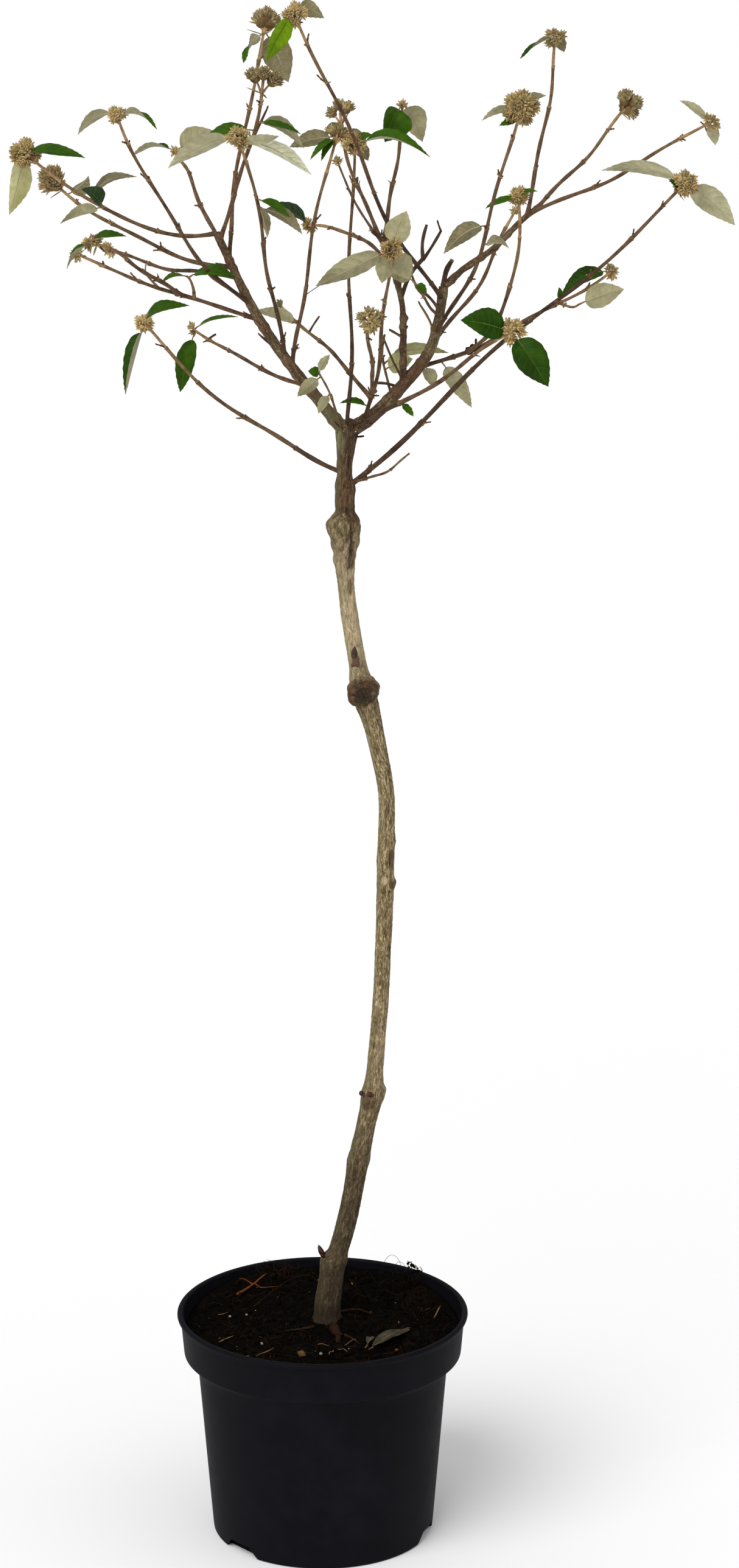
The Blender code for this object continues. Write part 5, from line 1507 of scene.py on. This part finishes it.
def make_head(piece, limb, line):
    """The flower-bud head at a shoot's tip: stalked sub-heads, and narrow bracts below them."""
    chance = random.Random("head " + limb.name)
    kind = KINDS.get(limb.name, STARRED)
    radius = limb.head * MM / 2 * HEAD_GROWN.get(limb.name, 1)
    heading, centre = np.array(line.heading(1)), np.array(line.at(1))
    neck = centre - heading * radius * 0.8
    side = unit(np.cross(heading, (0.2, 0.9, 0.4)))
    other = np.cross(heading, side)
    usual = 1 if radius < 4.6 * MM else 3 if radius < 8 * MM else 6 if radius < 12 * MM else 9
    count = SUB_HEADS.get(limb.name, usual)
    if limb.name in ROUND_HEADS:
        places = [side * 0.85 + heading * 0.35, heading * 0.95, side * -0.8 + heading * 0.2,
                  other * -0.8 + heading * 0.3, side * -0.3 - heading * 0.7 + other * 0.3][:count]
    elif count > 3:
        places = [side * d[0] + other * d[1] + heading * (d[2] * 0.85 + 0.15)
                  for d in golden(count, chance.uniform(0, 6))]
    elif count > 1:
        places = [side * 0.85 + heading * 0.4, side * -0.85 + heading * 0.3, heading + other * 0.15][:count]
    else:
        places = [heading]
    size = radius * {1: 1.0, 2: 0.66, 3: 0.58}.get(count, 0.64 if kind.is_closed() else 0.5)
    size *= 1.15 if limb.name in ("b", "h") else 1
    stalk = (1.7 if limb.name == "a" else 1.1) * MM
    for place in places:
        aim = unit(place + np.array([chance.uniform(-0.12, 0.12) for _ in range(3)]))
        middle = centre + aim * (radius - size) * (1.3 if count == 3 else 1) - heading * radius * 0.12
        tube(piece, [neck - heading * 1.5 * MM, neck * 0.55 + middle * 0.45, middle], [stalk, stalk * 0.8, stalk * 0.7],
             7, "twig_tip")
        lead = unit(aim + heading * (0.9 if kind.is_closed() else 0.35))
        scale_cluster(piece, middle, lead, size * chance.uniform(0.92, 1.1), chance, kind)
    for k in range(BRACTED.get(limb.name, 2)):
        turn = k * 2.4 + chance.uniform(-0.4, 0.4)
        out = between(side, other, turn)
        aim = between(heading, out, chance.uniform(0.9, 1.7))
        bud(piece, neck + out * MM, aim, radius * chance.uniform(0.6, 1.0), 1.9 * MM,
            chance.choice(("bud_olive", "bud_tip", "bud_tan")), chance, chance.uniform(-0.35, 0.35), 6, 0.45, out)


# -------- dead wood and the whole plant


# Dead and pruned twigs: the limb each stands on, its foot and its tip across and up, and its radius, in mm, and its
# look and its end's. One with no limb starts where the one before it ends.
DEAD_WOOD = (
    ("right", 106, 1122, 112, 1143, 2.0, "twig_dark", "cut_pale"),
    ("centre", 55, 1160, 44, 1169, 1.4, "twig_dark", "cut_wood"),
    ("centre", 66, 1112, 87, 1148, 1.4, "twig_dark", "twig_dark"),
    ("", 0, 0, 90, 1176, 1.3, "twig_dark", "cut_dark"),
    ("centre", 66, 1112, 87, 1146, 1.2, "twig_dark", "twig_dark"),
    ("", 0, 0, 102, 1171, 1.2, "twig_dark", "cut_dark"),
    ("", 0, 0, 99, 1180, 0.7, "twig_dark", "cut_dark"),
    ("right", 97, 1100, 84, 1119, 1.2, "twig_brown", "twig_dark"),
    ("", 0, 0, 78, 1131, 0.9, "twig_brown", "cut_dark"),
    ("right", 92, 1080, 85, 1106, 0.9, "twig_tan", "twig_tip"),
    ("centre", 69, 1080, 74, 1090, 0.9, "twig_dark", "cut_dark"),
    ("centre", 69, 1080, 59, 1087, 1.0, "twig_brown", "twig_dark"),
    ("right", 61, 1050, 54, 1079, 0.9, "twig_brown", "twig_dark"),
    ("right", 58, 1046, 44, 1041, 1.1, "twig_dark", "cut_dark"),
    ("z", 134, 1062, 133, 1073, 0.9, "cut_dark", "cut_dark"),
    ("left", -34, 1066, -49, 1086, 1.0, "twig_dark", "twig_brown"),
    ("left", -34, 1066, -41, 1080, 0.8, "twig_dark", "twig_brown"),
    ("d", -131, 1136, -144, 1145, 0.9, "twig_tan", "twig_tip"),
    ("", 0, 0, -143, 1152, 0.6, "twig_tip", "twig_tip"),
    ("e", -83, 1126, -92, 1143, 1.3, "twig_tan", "twig_tip"),
    ("g", -55, 1240, -42, 1280, 0.9, "twig_dark", "twig_dark"),
    ("j", -14, 1120, 0, 1128, 0.3, "twig_dark", "twig_dark"),
    ("n_rear", -7, 1082, -1, 1091, 0.8, "twig_dark", "twig_dark"),
    ("k", -98, 1062, -92, 1066, 0.9, "twig_dark", "cut_dark"),
)
# The black-brown knuckle on the right middle shoot: its place to the right, then its lumps across, up and in size.
KNUCKLE_RIGHT = 130
KNUCKLE = ((-3.5, -1, 4.2), (0, 0.5, 5.0), (3.5, 1, 4.2), (0.5, -3, 3.2), (5, 3, 2.4))


def make_dead_wood(piece, lines):
    chance = random.Random("dead wood")
    tip = None
    for name, x, z, to_x, to_z, girth, look, top in DEAD_WOOD:
        foot = lines[name].nearest(lambda place: hypot(place.x - x * MM, place.z - z * MM)) if name else tip
        tip = Vector((to_x * MM, foot.y - 3 * MM, to_z * MM))
        peg(piece, foot, tip, girth * MM, look, chance, top)
        if girth < 1.1 and name in ("d", "g", "left", "right"):
            bud(piece, tip, tip - foot, 4 * MM, 1.8 * MM, "twig_tan" if look == "twig_tan" else "twig_bud", chance, 0.1)
    middle = lines["z"].nearest(lambda place: abs(place.x - KNUCKLE_RIGHT * MM))
    for dx, dz, size in KNUCKLE:
        lump(piece, middle + mm(dx, 0, dz), size * MM, "cut_dark", chance, 0.9, 9)


def make_plant():
    lines = all_lines()
    places = limb_points(lines)
    make_bark(lines)
    nodes = list(dict.fromkeys(limb.node for limb in SHOOTS))
    left = [node for node in nodes if "_left" in node or "_middle" in node or "_summit" in node]
    right = [node for node in nodes if node not in left]
    twigs, leaves = Piece("twigs", "twig", nodes), Piece("leaves", "leaf", nodes)
    heads_left, heads_right = Piece("bud_heads_left", "bud", left), Piece("bud_heads_right", "bud", right)
    for limb in SHOOTS:
        line = lines[limb.name]
        make_nodes(twigs, line, make_twig(twigs, limb, line), random.Random("twig " + limb.name))
        make_spurs(twigs, limb, line, places)
        for number in range(len(limb.leaves)):
            make_leaf(leaves, limb, line, number, places)
        if limb.head:
            make_head(heads_left if limb.node in left else heads_right, limb, line)
    make_dead_wood(twigs, lines)
    for piece in (twigs, leaves, heads_left, heads_right):
        piece.finish()


# -------- studio


FLOOR_REACH = 250
ROOM_LIGHT, ROOM_SEEN = 0.55, 1.2
# Each sun's name, strength, spread in degrees and turn in degrees.
SUNS = (("key", 2.1, 45, (46, 0, -34)), ("fill", 0.45, 90, (60, 0, 50)))
CAMERA_LENS, SENSOR_WIDTH = 98.5, 36
CAMERA_PLACE = (0.042, -3.588, 1.655)
CAMERA_TURN = (75, 0, 0)


def make_studio():
    """A plain pale floor in a plain pale room, with two soft suns and the photograph's camera."""
    mesh = bpy.data.meshes.new("floor")
    corners = [(x * FLOOR_REACH, y * FLOOR_REACH, 0) for x, y in ((-1, -1), (1, -1), (1, 1), (-1, 1))]
    mesh.from_pydata(corners, [], [(0, 1, 2, 3)])
    paper, _, shader = new_material("paper")
    set_sockets(shader, Base_Color=(0.93, 0.93, 0.93, 1), Roughness=0.95, Specular_IOR_Level=0.1)
    mesh.materials.append(paper)
    placed(bpy.data.objects.new("floor", mesh))
    world = bpy.data.worlds.new("studio")
    world.use_nodes = True
    tree = world.node_tree
    # The room that shows past the floor's edge is as white as the floor, and lights the plant no more for it.
    shown = tree.nodes.new("ShaderNodeMixShader")
    seen = tree.nodes.new("ShaderNodeBackground")
    for socket, background, strength in ((1, tree.nodes["Background"], ROOM_LIGHT), (2, seen, ROOM_SEEN)):
        set_sockets(background, Color=(1, 1, 1, 1), Strength=strength)
        tree.links.new(background.outputs[0], shown.inputs[socket])
    tree.links.new(tree.nodes.new("ShaderNodeLightPath").outputs["Is Camera Ray"], shown.inputs[0])
    tree.links.new(shown.outputs[0], tree.nodes["World Output"].inputs["Surface"])
    bpy.context.scene.world = world
    for name, strength, spread, turn in SUNS:
        light = bpy.data.lights.new(name, "SUN")
        light.energy, light.angle = strength, radians(spread)
        placed(bpy.data.objects.new(name, light)).rotation_euler = [radians(angle) for angle in turn]
    camera = bpy.data.cameras.new("camera")
    camera.lens, camera.sensor_width, camera.sensor_fit = CAMERA_LENS, SENSOR_WIDTH, "AUTO"
    holder = placed(bpy.data.objects.new("camera", camera))
    holder.location = CAMERA_PLACE
    holder.rotation_euler = [radians(angle) for angle in CAMERA_TURN]
    bpy.context.scene.camera = holder
    bpy.context.scene.view_settings.view_transform = "Standard"


def main():
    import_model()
    make_studio()
    make_pot()
    make_soil()
    make_plant()


main()
